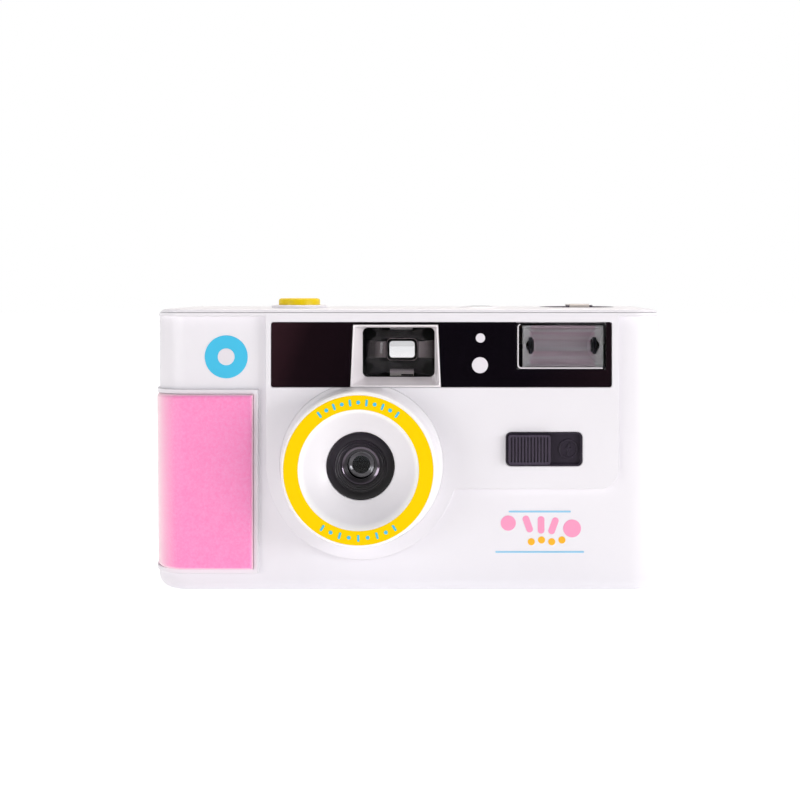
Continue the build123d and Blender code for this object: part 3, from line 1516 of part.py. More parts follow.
def flash_switch():
    """Ribbed slider of the flash switch with its stem."""
    left = switch_left_x + tray_rim + fit
    right = left + slider_width
    low = switch_low_z + tray_rim + fit
    high = switch_high_z - tray_rim - fit
    front = plate_y - slider_proud
    body = from_front(front_rectangle(left, right, low, high, 0.6), front,
                      plate_y + tray_floor_depth - slider_lift)
    body -= block(left + 0.5, right - 0.5, front - 1, front + slider_rib_height, low + 0.5, high - 0.5)
    pitch = (slider_width - 1.0) / (slider_ribs + 0.5)
    for rib in range(slider_ribs):
        start = left + 0.5 + (rib + 0.5) * pitch
        body += block(start, start + pitch / 2, front, front + slider_rib_height + 0.1, low + 0.4, high - 0.4)
    stem_right = left + slider_stem_inset + slider_stem_width - fit
    stem = switch_slot(plate_y - slider_lift, inner_front_y + fit, 0)
    return body + (stem & block(left_x, stem_right, plate_y - slider_proud, back_y, 0, body_height))


def switch_contact():
    """Spring plate on the switch's stem, behind the front wall."""
    front = inner_front_y + fit
    left = switch_left_x + tray_rim + slider_stem_inset - 0.3
    middle = (switch_low_z + switch_high_z) / 2
    half = switch_contact_height / 2
    return block(left, left + switch_contact_length, front, front + switch_contact_thickness, middle - half,
                 middle + half)


def rewind_button_spring():
    """Short spring above the rewind button's flange."""
    low = wall + 2 * fit + 0.4
    length = chamber_low_z - 0.8 - low
    return Pos(sprocket_x, sprocket_y, low) * coil(1.9, rewind_spring_wire, length - fit, 1.5)


def case_screws():
    """Screws from the base into the chassis."""
    screws = []
    for x, y in screw_places:
        seat = screw_sink + screw_head_height
        head = upright(x, y, screw_sink, seat, screw_head_radius)
        half = screw_slot / 2
        head -= block(x - half, x + half, y - 1.3, y + 1.3, 0, seat - half)
        head -= block(x - 1.3, x + 1.3, y - half, y + half, 0, seat - half)
        screws.append(head + upright(x, y, seat, screw_length - half, screw_shank_radius))
    return Compound(children=screws)


def strap_bar():
    """Steel bar for the wrist strap."""
    return strap_pin(strap_bar_radius)


def main():
    """Write one file for each piece."""
    makers = [
        front_cover, top_cover, rear_cover, back_door, door_latch, hinge_pin, film_chassis, battery_holder,
        light_box, lens_housing, lens_ring, lens_barrel, front_lens, aperture_plate, rear_lens,
        lens_retainer, shutter_plate, shutter_blade, shutter_spring, release_lever, shutter_button,
        button_spring, thumb_wheel, take_up_spool, sprocket, counter_dial, counter_window, rewind_shaft,
        rewind_bush, rewind_hub, rewind_crank, crank_knob, rewind_button, pressure_plate, pressure_spring,
        latch_spring, grip_pad, window_panel, viewfinder_hood, viewfinder_lens, viewfinder_tunnel,
        eyepiece_lens, flash_window, flash_reflector, flash_tube, flash_board, flash_capacitor,
        flash_transformer, ready_lamp, battery_contact, battery_door, door_contact, switch_tray,
        flash_switch, switch_contact, rewind_button_spring, case_screws, strap_bar,
    ]
    os.makedirs("parts", exist_ok=True)
    for maker in makers:
        export_step(maker(), f"parts/{maker.__name__}.step")


main()
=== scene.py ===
# Dresses the plastic film camera: shell, grip, lens, finder, flash and fittings, with lights and a view.
import json
import math

import bmesh
import bpy
from mathutils import Matrix, Vector

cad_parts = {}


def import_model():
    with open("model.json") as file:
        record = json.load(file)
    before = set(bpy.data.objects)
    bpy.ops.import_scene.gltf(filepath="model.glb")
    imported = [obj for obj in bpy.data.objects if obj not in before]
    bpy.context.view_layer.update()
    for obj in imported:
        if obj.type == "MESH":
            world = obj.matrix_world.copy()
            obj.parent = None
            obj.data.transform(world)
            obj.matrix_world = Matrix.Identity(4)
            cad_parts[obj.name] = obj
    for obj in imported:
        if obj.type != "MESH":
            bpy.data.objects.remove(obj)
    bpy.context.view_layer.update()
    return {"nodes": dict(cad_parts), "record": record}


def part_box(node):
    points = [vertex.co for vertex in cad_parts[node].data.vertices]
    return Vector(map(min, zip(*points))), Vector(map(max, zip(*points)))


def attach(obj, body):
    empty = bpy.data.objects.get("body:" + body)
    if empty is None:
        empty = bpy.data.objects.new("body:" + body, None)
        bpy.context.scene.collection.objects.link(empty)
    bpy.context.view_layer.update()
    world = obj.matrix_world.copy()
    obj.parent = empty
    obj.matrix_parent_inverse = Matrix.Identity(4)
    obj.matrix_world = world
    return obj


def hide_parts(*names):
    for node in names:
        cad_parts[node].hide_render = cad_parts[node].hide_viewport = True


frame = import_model()

# Places and sizes in millimetres, as in the CAD
MM = 0.001
LENS_X, LENS_Z = -9.8, 29.05
PLATE_Y = -15.0
FACE_Y = -13.7
RING_Y = -24.05
MARKS_RADIUS = 14.75
BADGE_X, BADGE_Z = -40.4, 53.1
PRINT_DEPTH = 0.05
PRINT_BODY = PRINT_DEPTH * 1.2
GRIP_TURN_X, GRIP_TOP_Z, GRIP_HEIGHT = -50.0, 45.0, 40.0
TUBE_X, TUBE_Y, TUBE_Z, TUBE_TURN_RADIUS = 35.5, -11.94, 55.6, 1.36
TROUGH_END, TROUGH_END_BLEND = 7.0, 0.6
FINDER_MASK_Y, FINDER_FOOT_Y = -2.28, -6.5
BEVEL_SAMPLES = 6
BUMP_HEIGHT = 0.0001


def srgb(red, green, blue):
    """A colour given as 0 to 255 values, ready for a shader."""
    channels = []
    for value in (red, green, blue):
        share = value / 255
        channels.append(share / 12.92 if share <= 0.04045 else ((share + 0.055) / 1.055) ** 2.4)
    return (*channels, 1.0)


def maths(nodes, operation, *values):
    """A maths node; each value goes to the input of its number, and None leaves that input to a link."""
    made = nodes.new("ShaderNodeMath")
    made.operation = operation
    for number, value in enumerate(values):
        if value is not None:
            made.inputs[number].default_value = value
    return made


def vector_maths(nodes, operation, constant=None):
    """A vector maths node, with a constant second vector if one is given."""
    made = nodes.new("ShaderNodeVectorMath")
    made.operation = operation
    if constant is not None:
        made.inputs[1].default_value = constant
    return made


def ranged(nodes, low=0.0, high=1.0, to_low=0.0, to_high=1.0):
    """A node that maps one range to another."""
    made = nodes.new("ShaderNodeMapRange")
    made.inputs["From Min"].default_value = low
    made.inputs["From Max"].default_value = high
    made.inputs["To Min"].default_value = to_low
    made.inputs["To Max"].default_value = to_high
    return made


def noise(nodes, scale=None, detail=2.0, roughness=0.5):
    """A noise node in metres; without a scale, that input is left to a link."""
    made = nodes.new("ShaderNodeTexNoise")
    made.inputs["Detail"].default_value = detail
    made.inputs["Roughness"].default_value = roughness
    if scale is not None:
        made.inputs["Scale"].default_value = scale
    return made


def colour_mix(nodes, **constants):
    """A colour mix node; A and B may be given as constants."""
    made = nodes.new("ShaderNodeMix")
    made.data_type = "RGBA"
    for label, colour in constants.items():
        made.inputs[label].default_value = colour
    return made


def ramp(nodes, *stops):
    """A colour ramp from pairs of place and colour."""
    made = nodes.new("ShaderNodeValToRGB")
    steps = made.color_ramp.elements
    steps[0].position, steps[0].color = stops[0]
    steps[1].position, steps[1].color = stops[-1]
    for where, shade in stops[1:-1]:
        steps.new(where).color = shade
    return made


def object_axes(nodes, link):
    """The object coordinate as a vector and as separate axes, in metres."""
    place = nodes.new("ShaderNodeTexCoord")
    split = nodes.new("ShaderNodeSeparateXYZ")
    link(place.outputs["Object"], split.inputs["Vector"])
    return place.outputs["Object"], split


def group_of(name, inputs, outputs):
    """An empty node group with its sockets, given as label, kind and value or as label and kind."""
    group = bpy.data.node_groups.new(name, "ShaderNodeTree")
    for label, kind, value in inputs:
        group.interface.new_socket(label, in_out="INPUT", socket_type="NodeSocket" + kind).default_value = value
    for label, kind in outputs:
        group.interface.new_socket(label, in_out="OUTPUT", socket_type="NodeSocket" + kind)
    return group, group.nodes, group.links.new


def moulded_skin():
    """Fine skin of moulded plastic: a soft orange-peel height and slow changes of gloss and tint."""
    group, nodes, link = group_of(
        "moulded_skin",
        (("Colour", "Color", (0.8, 0.8, 0.8, 1)), ("Gloss", "Float", 0.35), ("Grain", "Float", 900.0),
         ("Depth", "Float", 0.05), ("Edge", "Float", 0.00012)),
        (("Colour", "Color"), ("Roughness", "Float"), ("Normal", "Vector")))
    start = nodes.new("NodeGroupInput")
    end = nodes.new("NodeGroupOutput")
    place = nodes.new("ShaderNodeTexCoord")
    peel = noise(nodes, detail=3.0)
    link(place.outputs["Object"], peel.inputs["Vector"])
    link(start.outputs["Grain"], peel.inputs["Scale"])
    bump = nodes.new("ShaderNodeBump")
    bump.inputs["Distance"].default_value = BUMP_HEIGHT
    link(start.outputs["Depth"], bump.inputs["Strength"])
    link(peel.outputs["Fac"], bump.inputs["Height"])
    eased = nodes.new("ShaderNodeBevel")
    eased.samples = BEVEL_SAMPLES
    link(start.outputs["Edge"], eased.inputs["Radius"])
    link(eased.outputs["Normal"], bump.inputs["Normal"])
    slow = noise(nodes, 60.0)
    link(place.outputs["Object"], slow.inputs["Vector"])
    gloss = maths(nodes, "MULTIPLY_ADD", None, 0.08)
    link(slow.outputs["Fac"], gloss.inputs[0])
    link(start.outputs["Gloss"], gloss.inputs[2])
    tint = nodes.new("ShaderNodeHueSaturation")
    dim = ranged(nodes, to_low=0.985, to_high=1.015)
    link(slow.outputs["Fac"], dim.inputs["Value"])
    link(dim.outputs["Result"], tint.inputs["Value"])
    link(start.outputs["Colour"], tint.inputs["Color"])
    link(tint.outputs["Color"], end.inputs["Colour"])
    link(gloss.outputs[0], end.inputs["Roughness"])
    link(bump.outputs["Normal"], end.inputs["Normal"])
    return group


def turned_lines():
    """Fine rings round the lens axis, as a lathe leaves them: a height and a light and dark mask."""
    group, nodes, link = group_of("turned_lines", (("Rings", "Float", 2500.0), ("Depth", "Float", 0.2)),
                                  (("Mask", "Float"), ("Normal", "Vector")))
    start = nodes.new("NodeGroupInput")
    end = nodes.new("NodeGroupOutput")
    place = nodes.new("ShaderNodeTexCoord")
    centre = vector_maths(nodes, "SUBTRACT", (LENS_X * MM, 0.0, LENS_Z * MM))
    flat = vector_maths(nodes, "MULTIPLY", (1.0, 0.0, 1.0))
    reach = vector_maths(nodes, "LENGTH")
    link(place.outputs["Object"], centre.inputs[0])
    link(centre.outputs["Vector"], flat.inputs[0])
    link(flat.outputs["Vector"], reach.inputs[0])
    wave = maths(nodes, "MULTIPLY")
    link(reach.outputs["Value"], wave.inputs[0])
    link(start.outputs["Rings"], wave.inputs[1])
    ring = maths(nodes, "SINE")
    link(wave.outputs[0], ring.inputs[0])
    mask = ranged(nodes, low=-1.0)
    link(ring.outputs[0], mask.inputs["Value"])
    bump = nodes.new("ShaderNodeBump")
    bump.inputs["Distance"].default_value = BUMP_HEIGHT
    link(start.outputs["Depth"], bump.inputs["Strength"])
    link(ring.outputs[0], bump.inputs["Height"])
    link(mask.outputs["Result"], end.inputs["Mask"])
    link(bump.outputs["Normal"], end.inputs["Normal"])
    return group


SKIN = moulded_skin()
RINGS = turned_lines()


def finish(name, colour, roughness, metallic=0.0, **constants):
    """A material with the moulded skin; the constants are set on the shader's own sockets."""
    made = bpy.data.materials.new(name)
    made.use_nodes = True
    nodes = made.node_tree.nodes
    link = made.node_tree.links.new
    shader = nodes["Principled BSDF"]
    skin = nodes.new("ShaderNodeGroup")
    skin.node_tree = SKIN
    skin.inputs["Colour"].default_value = colour
    skin.inputs["Gloss"].default_value = roughness - 0.04
    skin.inputs["Grain"].default_value = constants.pop("grain", 900.0)
    skin.inputs["Depth"].default_value = constants.pop("depth", 0.05)
    skin.inputs["Edge"].default_value = constants.pop("edge", 0.12) * MM
    link(skin.outputs["Colour"], shader.inputs["Base Color"])
    link(skin.outputs["Roughness"], shader.inputs["Roughness"])
    link(skin.outputs["Normal"], shader.inputs["Normal"])
    shader.inputs["Metallic"].default_value = metallic
    for label, value in constants.items():
        shader.inputs[label.replace("_", " ").title().replace("Ior", "IOR")].default_value = value
    return made


def clear_finish(name, colour, roughness=0.01, ior=1.49):
    """Clear acrylic or glass, with faint changes of gloss as on a wiped surface."""
    made = bpy.data.materials.new(name)
    made.use_nodes = True
    nodes = made.node_tree.nodes
    link = made.node_tree.links.new
    shader = nodes["Principled BSDF"]
    shader.inputs["Base Color"].default_value = colour
    shader.inputs["IOR"].default_value = ior
    shader.inputs["Transmission Weight"].default_value = 1.0
    place = nodes.new("ShaderNodeTexCoord")
    film = noise(nodes, 180.0)
    wiped = ranged(nodes, to_low=roughness, to_high=roughness + 0.02)
    link(place.outputs["Object"], film.inputs["Vector"])
    link(film.outputs["Fac"], wiped.inputs["Value"])
    link(wiped.outputs["Result"], shader.inputs["Roughness"])
    return made


def grip_rubber():
    """Pink soft rubber, finely mottled all over, with a painted sheen that makes it paler where it turns away."""
    made = finish("grip_rubber", srgb(255, 150, 203), 0.45, grain=1500.0, depth=0.1, sheen_weight=0.4,
                  sheen_roughness=0.35, specular_ior_level=0.7)
    nodes = made.node_tree.nodes
    link = made.node_tree.links.new
    shader = nodes["Principled BSDF"]
    place = nodes.new("ShaderNodeTexCoord")
    pebble = noise(nodes, 1900.0, 3.0, 0.6)
    link(place.outputs["Object"], pebble.inputs["Vector"])
    tone = ramp(nodes, (0.3, srgb(255, 133, 195)), (0.7, srgb(255, 154, 208)))
    link(pebble.outputs["Fac"], tone.inputs["Fac"])
    # Painted sheen: the base colour turns pale pink where the surface turns away from the view.
    turned = nodes.new("ShaderNodeLayerWeight")
    turned.inputs["Blend"].default_value = 0.5
    away = ranged(nodes, 0.15, 0.8, to_high=0.9)
    pale = colour_mix(nodes, B=srgb(255, 230, 236))
    link(turned.outputs["Facing"], away.inputs["Value"])
    link(away.outputs["Result"], pale.inputs["Factor"])
    link(tone.outputs["Color"], pale.inputs["A"])
    link(pale.outputs["Result"], shader.inputs["Base Color"])
    bump = nodes.new("ShaderNodeBump")
    bump.inputs["Strength"].default_value = 0.35
    bump.inputs["Distance"].default_value = BUMP_HEIGHT * 1.2
    link(pebble.outputs["Fac"], bump.inputs["Height"])
    link(bump.outputs["Normal"], shader.inputs["Normal"])
    return made


def lathed_black():
    """Satin black of the lens barrel, with fine turned rings, and painted shade that makes it darker towards its
    lower right.
    """
    made = finish("barrel_black", srgb(24, 21, 26), 0.3, specular_ior_level=0.62)
    nodes = made.node_tree.nodes
    link = made.node_tree.links.new
    shader = nodes["Principled BSDF"]
    rings = nodes.new("ShaderNodeGroup")
    rings.node_tree = RINGS
    rings.inputs["Rings"].default_value = 26000.0
    rings.inputs["Depth"].default_value = 0.12
    link(rings.outputs["Normal"], shader.inputs["Normal"])
    tone = colour_mix(nodes, A=srgb(22, 17, 26), B=srgb(46, 39, 50))
    link(rings.outputs["Mask"], tone.inputs["Factor"])
    place = nodes.new("ShaderNodeTexCoord")
    # Painted shade: the base colour darkens towards the lower right of the barrel.
    shade_slope = vector_maths(nodes, "DOT_PRODUCT", (-0.45, 0.0, 0.9))
    link(place.outputs["Object"], shade_slope.inputs[0])
    height = ranged(nodes, 0.0255, 0.0345)
    link(shade_slope.outputs["Value"], height.inputs["Value"])
    low = colour_mix(nodes, A=srgb(13, 10, 14))
    link(height.outputs["Result"], low.inputs["Factor"])
    link(tone.outputs["Result"], low.inputs["B"])
    link(low.outputs["Result"], shader.inputs["Base Color"])
    return made


def banded(name, axis, middle, stops, roughness, metallic=0.0, edge=0.12):
    """A finish whose tone changes with the distance from a middle plane across one axis, in millimetres."""
    made = finish(name, stops[0][1], roughness, metallic=metallic, depth=0.01, edge=edge)
    nodes = made.node_tree.nodes
    link = made.node_tree.links.new
    split = object_axes(nodes, link)[1]
    shift = maths(nodes, "SUBTRACT", None, middle * MM)
    link(split.outputs[axis], shift.inputs[0])
    reach = maths(nodes, "ABSOLUTE")
    link(shift.outputs[0], reach.inputs[0])
    first, last = stops[0][0], stops[-1][0]
    share = ranged(nodes, first * MM, last * MM)
    link(reach.outputs[0], share.inputs["Value"])
    tone = ramp(nodes, *(((where - first) / (last - first), shade) for where, shade in stops))
    link(share.outputs["Result"], tone.inputs["Fac"])
    link(tone.outputs["Color"], nodes["Principled BSDF"].inputs["Base Color"])
    return made


def silver_with_painted_ends():
    """Reflector metal: mauve bands along the tube, and painted light that makes both ends brighter."""
    made = finish("reflector_silver", srgb(190, 178, 184), 0.3, metallic=0.05, depth=0.02)
    nodes = made.node_tree.nodes
    link = made.node_tree.links.new
    place, split = object_axes(nodes, link)
    flat = vector_maths(nodes, "MULTIPLY", (0.02, 0.3, 1.0))
    link(place, flat.inputs[0])
    band = noise(nodes, 900.0)
    link(flat.outputs["Vector"], band.inputs["Vector"])
    tone = ramp(nodes, (0.32, srgb(238, 212, 225)), (0.7, srgb(255, 250, 255)))
    link(band.outputs["Fac"], tone.inputs["Fac"])
    # Painted light: the base colour turns white towards both sloping ends of the trough.
    shift = maths(nodes, "SUBTRACT", None, TUBE_X * MM)
    link(split.outputs["X"], shift.inputs[0])
    reach = maths(nodes, "ABSOLUTE")
    link(shift.outputs[0], reach.inputs[0])
    end = ranged(nodes, TROUGH_END * MM, (TROUGH_END + TROUGH_END_BLEND) * MM)
    link(reach.outputs[0], end.inputs["Value"])
    mix = colour_mix(nodes, B=(1.0, 1.0, 1.0, 1.0))
    link(end.outputs["Result"], mix.inputs["Factor"])
    link(tone.outputs["Color"], mix.inputs["A"])
    link(mix.outputs["Result"], nodes["Principled BSDF"].inputs["Base Color"])
    return made


def panel_with_painted_reflection():
    """Polished black acrylic, with a painted brown reflection towards its ends, strongest at its upper left."""
    made = finish("panel_black", srgb(10, 6, 12), 0.06, depth=0.005, coat_weight=0.3, coat_roughness=0.03)
    nodes = made.node_tree.nodes
    link = made.node_tree.links.new
    split = object_axes(nodes, link)[1]
    reflection_slant = maths(nodes, "MULTIPLY_ADD", None, -0.35)
    link(split.outputs["Z"], reflection_slant.inputs[0])
    link(split.outputs["X"], reflection_slant.inputs[2])
    share = ranged(nodes, -0.0515, 0.0285)
    link(reflection_slant.outputs[0], share.inputs["Value"])
    # Painted reflection: brown towards both ends of the diagonal, strongest at the upper left.
    tone = ramp(nodes, (0.0, srgb(48, 28, 34)), (0.06, srgb(40, 22, 28)), (0.12, srgb(24, 12, 18)),
                (0.5, srgb(10, 6, 13)), (0.78, srgb(10, 6, 13)), (1.0, srgb(24, 13, 19)))
    link(share.outputs["Result"], tone.inputs["Fac"])
    link(tone.outputs["Color"], nodes["Principled BSDF"].inputs["Base Color"])
    return made


WHITE = finish("shell_white", srgb(238, 236, 241), 0.36, grain=1200.0, depth=0.03, edge=0.35)
# The lens mount's white is painted whiter near its front rim, a painted highlight.
MOUNT_WHITE_RIM_HIGHLIGHT = banded("mount_white_rim_highlight", "Y", 0.0, ((22.4, srgb(243, 241, 245)), (23.4, srgb(255, 255, 255))), 0.34,
                    edge=0.3)
PINK = grip_rubber()
RING_YELLOW = finish("ring_yellow", srgb(252, 210, 0), 0.45, depth=0.02, specular_ior_level=0.05)
BUTTON_YELLOW = finish("button_yellow", srgb(240, 209, 6), 0.36, depth=0.02, specular_ior_level=0.3)
CYAN = finish("print_cyan", srgb(64, 196, 236), 0.4, depth=0.02)
SKY = finish("print_sky", srgb(150, 208, 240), 0.4, depth=0.02)
ORANGE = finish("print_orange", srgb(254, 186, 24), 0.4, depth=0.02)
PINK_PRINT = finish("print_pink", srgb(252, 158, 196), 0.4, depth=0.02)
PANEL = panel_with_painted_reflection()
PRINT_WHITE = finish("print_white", srgb(230, 226, 232), 0.4, depth=0.02, specular_ior_level=0.2)
PRINT_GREY = finish("print_grey", srgb(92, 88, 94), 0.45, depth=0.02)
BARREL = lathed_black()
INNER = finish("inner_black", srgb(20, 18, 21), 0.7, depth=0.04)
TUNNEL = finish("tunnel_black", srgb(12, 9, 12), 0.55, depth=0.01, specular_ior_level=0.15)
CHARCOAL = finish("switch_charcoal", srgb(65, 55, 73), 0.42, grain=2500.0, depth=0.05)
TRAY = finish("tray_charcoal", srgb(42, 33, 49), 0.4, grain=2500.0, depth=0.05)
PALE = finish("hood_pale", srgb(250, 245, 248), 0.3, depth=0.02, edge=0.25)
CLEAR = clear_finish("clear_acrylic", (0.99, 0.99, 1.0, 1.0))
GLASS = clear_finish("lens_glass", (0.93, 0.96, 1.0, 1.0), 0.005, 1.38)
LAMP = clear_finish("lamp_orange", srgb(255, 150, 60), 0.05)
SILVER = silver_with_painted_ends()
TUBE = clear_finish("tube_glass", (0.98, 0.97, 0.98, 1.0), 0.02, 1.12)
STOP_GREY = finish("stop_grey", srgb(118, 110, 116), 0.4, depth=0.0, edge=0.0, coat_weight=1.0, coat_ior=1.9,
                   coat_roughness=0.09)
BLADE = finish("blade_black", srgb(9, 8, 10), 0.8, depth=0.0, edge=0.0, specular_ior_level=0.05)
BEZEL = finish("bezel_polished", srgb(104, 96, 106), 0.13, metallic=1.0, depth=0.0, edge=0.0)
MASK = finish("mask_black", srgb(16, 12, 16), 0.6, depth=0.0, specular_ior_level=0.15)
MASK_GREY = finish("mask_grey", srgb(214, 200, 204), 0.5, depth=0.01)
# Painted light on the finder's side bands: bright near the window, fading into painted shade away from it.
FINDER_SIDE_PAINTED_LIGHT = banded("finder_side_painted_light", "X", -1.17, ((3.6, srgb(246, 234, 236)), (5.6, srgb(206, 194, 196)),
                                            (7.2, srgb(100, 88, 92)), (8.6, srgb(22, 16, 20))), 0.5)
# Painted light on the finder's foot: pale at its lower edge, fading into painted shade towards its top.
FINDER_FOOT_PAINTED_LIGHT = banded("finder_foot_painted_light", "Z", 47.0, ((1.2, srgb(255, 252, 244)), (2.2, srgb(246, 234, 238)),
                                           (2.9, srgb(90, 78, 84))), 0.4)
LINING = finish("lining_bright", srgb(244, 238, 238), 0.04, metallic=1.0, depth=0.0)
# A pale finish for the flash window's edge strip, a painted highlight.
FLASH_RIM_HIGHLIGHT = finish("flash_rim_painted_highlight", srgb(226, 222, 226), 0.2, depth=0.0, coat_weight=0.5)
STEEL = finish("wire_steel", srgb(176, 174, 172), 0.3, metallic=1.0, depth=0.05)
DARK_STEEL = finish("black_steel", srgb(34, 34, 38), 0.4, metallic=0.6, depth=0.05)
CRANK = finish("crank_grey", srgb(206, 198, 192), 0.3, depth=0.02)
BOARD = finish("board_green", srgb(38, 96, 60), 0.45, depth=0.02)
SLEEVE = finish("sleeve_black", srgb(26, 28, 44), 0.3, depth=0.02)
DIAL = finish("dial_white", srgb(236, 235, 232), 0.45, depth=0.02)

FINISHES = {
    "front_cover": WHITE, "top_cover": WHITE, "rear_cover": WHITE, "back_door": WHITE, "battery_door": WHITE,
    "door_latch": CHARCOAL, "hinge_pin": STEEL, "film_chassis": INNER, "light_box": INNER, "lens_housing": MOUNT_WHITE_RIM_HIGHLIGHT,
    "lens_ring": RING_YELLOW, "lens_barrel": BARREL, "front_lens": GLASS, "aperture_plate": BLADE, "rear_lens": GLASS,
    "lens_retainer": INNER, "shutter_plate": INNER, "shutter_blade": BLADE, "shutter_spring": STEEL,
    "release_lever": INNER, "shutter_button": BUTTON_YELLOW, "button_spring": STEEL, "thumb_wheel": CHARCOAL,
    "take_up_spool": INNER, "sprocket": INNER, "counter_dial": DIAL, "counter_window": CLEAR, "rewind_shaft": INNER,
    "rewind_bush": INNER, "rewind_hub": CHARCOAL, "rewind_crank": CRANK, "crank_knob": CHARCOAL,
    "battery_holder": INNER, "rewind_button": CHARCOAL, "pressure_plate": DARK_STEEL, "pressure_spring": STEEL,
    "latch_spring": STEEL, "grip_pad": PINK, "window_panel": PANEL, "viewfinder_hood": PALE,
    "viewfinder_lens": CLEAR, "viewfinder_tunnel": TUNNEL, "eyepiece_lens": CLEAR, "flash_window": CLEAR,
    "flash_reflector": SILVER, "flash_tube": TUBE, "flash_board": BOARD, "flash_capacitor": SLEEVE,
    "flash_transformer": SLEEVE, "ready_lamp": LAMP, "battery_contact": STEEL, "door_contact": STEEL,
    "switch_tray": TRAY, "flash_switch": CHARCOAL, "switch_contact": STEEL, "rewind_button_spring": STEEL,
    "case_screws": STEEL, "strap_bar": STEEL,
}


def body_of(node):
    """The body that a node rides on."""
    for body, members in frame["record"]["behaviour"]["bodies"].items():
        if node in members:
            return body
    raise KeyError(node)


def placed(name, data):
    """A new object of the scene, at the origin."""
    made = bpy.data.objects.new(name, data)
    bpy.context.scene.collection.objects.link(made)
    return made


def settle(piece, material, body, smooth=32.0):
    """Give a new piece its material, its shading and its body."""
    mesh = piece.data
    mesh.materials.clear()
    mesh.materials.append(material)
    for polygon in mesh.polygons:
        polygon.use_smooth = True
    mesh.set_sharp_from_angle(angle=math.radians(smooth))
    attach(piece, body)
    return piece


def piece_from(name, shape, material, body, smooth=32.0):
    """A finished piece from a bmesh in millimetres."""
    bmesh.ops.scale(shape, vec=(MM, MM, MM), verts=shape.verts)
    mesh = bpy.data.meshes.new(name)
    shape.to_mesh(mesh)
    shape.free()
    return settle(placed(name, mesh), material, body, smooth)


def dressed(node):
    """A smooth-shaded copy of a CAD node, freed of needless edges, that stands for the node."""
    mesh = frame["nodes"][node].data.copy()
    mesh.name = node + "_skin"
    shape = bmesh.new()
    shape.from_mesh(mesh)
    bmesh.ops.remove_doubles(shape, verts=shape.verts, dist=2e-6)
    bmesh.ops.dissolve_limit(shape, angle_limit=math.radians(0.6), verts=shape.verts, edges=shape.edges)
    shape.to_mesh(mesh)
    shape.free()
    for layer in ("custom_normal", "sharp_edge", "sharp_face"):
        if layer in mesh.attributes:
            mesh.attributes.remove(mesh.attributes[layer])
    piece = placed(node + "_skin", mesh)
    settle(piece, FINISHES[node], body_of(node))
    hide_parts(node)
    return piece


for node, thing in frame["nodes"].items():
    thing.data.materials.clear()
    thing.data.materials.append(FINISHES[node])

for node in ("front_cover", "top_cover", "rear_cover", "back_door", "battery_door", "lens_housing", "grip_pad",
             "lens_barrel", "front_lens", "shutter_button", "rewind_hub", "rewind_crank", "crank_knob", "thumb_wheel",
             "viewfinder_hood", "door_latch", "flash_reflector", "flash_tube", "lens_ring", "window_panel",
             "switch_tray", "flash_switch", "flash_window", "viewfinder_lens", "viewfinder_tunnel", "eyepiece_lens",
             "counter_window", "case_screws", "strap_bar", "rewind_button", "ready_lamp"):
    dressed(node)

# The grip's side is drawn in a little, more so towards its foot
for vertex in bpy.data.objects["grip_pad_skin"].data.vertices:
    reach = GRIP_TURN_X * MM - vertex.co.x
    if reach > 0:
        drop = (GRIP_TOP_Z * MM - vertex.co.z) / (GRIP_HEIGHT * MM)
        vertex.co.x += reach * (0.1 + 0.04 * drop)


def printed_disc(shape, x, z, radius, face_y):
    """A thin round print on a face that looks forward."""
    lie = Matrix.Translation((x, face_y - PRINT_DEPTH / 2, z)) @ Matrix.Rotation(math.radians(90), 4, "X")
    bmesh.ops.create_cone(shape, cap_ends=True, segments=64, radius1=radius, radius2=radius,
                          depth=PRINT_BODY, matrix=lie)


def printed_bar(shape, x, z, length, width, face_y, turn=0.0):
    """A thin print with rounded ends on a face that looks forward, turned about Y by degrees."""
    lie = (Matrix.Translation((x, face_y - PRINT_DEPTH / 2, z)) @ Matrix.Rotation(math.radians(turn), 4, "Y")
           @ Matrix.Diagonal((length, PRINT_BODY, width, 1.0)))
    made = bmesh.ops.create_cube(shape, size=1.0, matrix=lie)["verts"]
    ends = [edge for edge in shape.edges if edge.verts[0] in made and edge.verts[1] in made
            and abs((edge.verts[0].co - edge.verts[1].co).y) > PRINT_DEPTH]
    bmesh.ops.bevel(shape, geom=ends, offset=min(length, width) * 0.48, offset_type="OFFSET", affect="EDGES",
                    segments=6, profile=0.5, material=-1)


def ring_marks():
    """Plain cyan ticks and dots printed on the yellow ring, above and below."""
    shape = bmesh.new()
    for middle, marks, step in ((90.0, 11, 7.0), (270.0, 9, 8.0)):
        for mark in range(marks):
            angle = math.radians(middle + (mark - (marks - 1) / 2) * step)
            x = LENS_X + MARKS_RADIUS * math.cos(angle)
            z = LENS_Z + MARKS_RADIUS * math.sin(angle)
            if mark % 2:
                printed_disc(shape, x, z, 0.42, RING_Y)
            else:
                printed_bar(shape, x, z, 1.5, 0.5, RING_Y, -math.degrees(angle))
    return piece_from("ring_marks", shape, CYAN, "camera_body")


def prints(name, material, face_y, discs=(), bars=()):
    """A piece of prints: discs as x, z and radius, bars as x, z, length, width and turn."""
    shape = bmesh.new()
    for x, z, radius in discs:
        printed_disc(shape, x, z, radius, face_y)
    for x, z, length, width, turn in bars:
        printed_bar(shape, x, z, length, width, face_y, turn)
    return piece_from(name, shape, material, "camera_body")


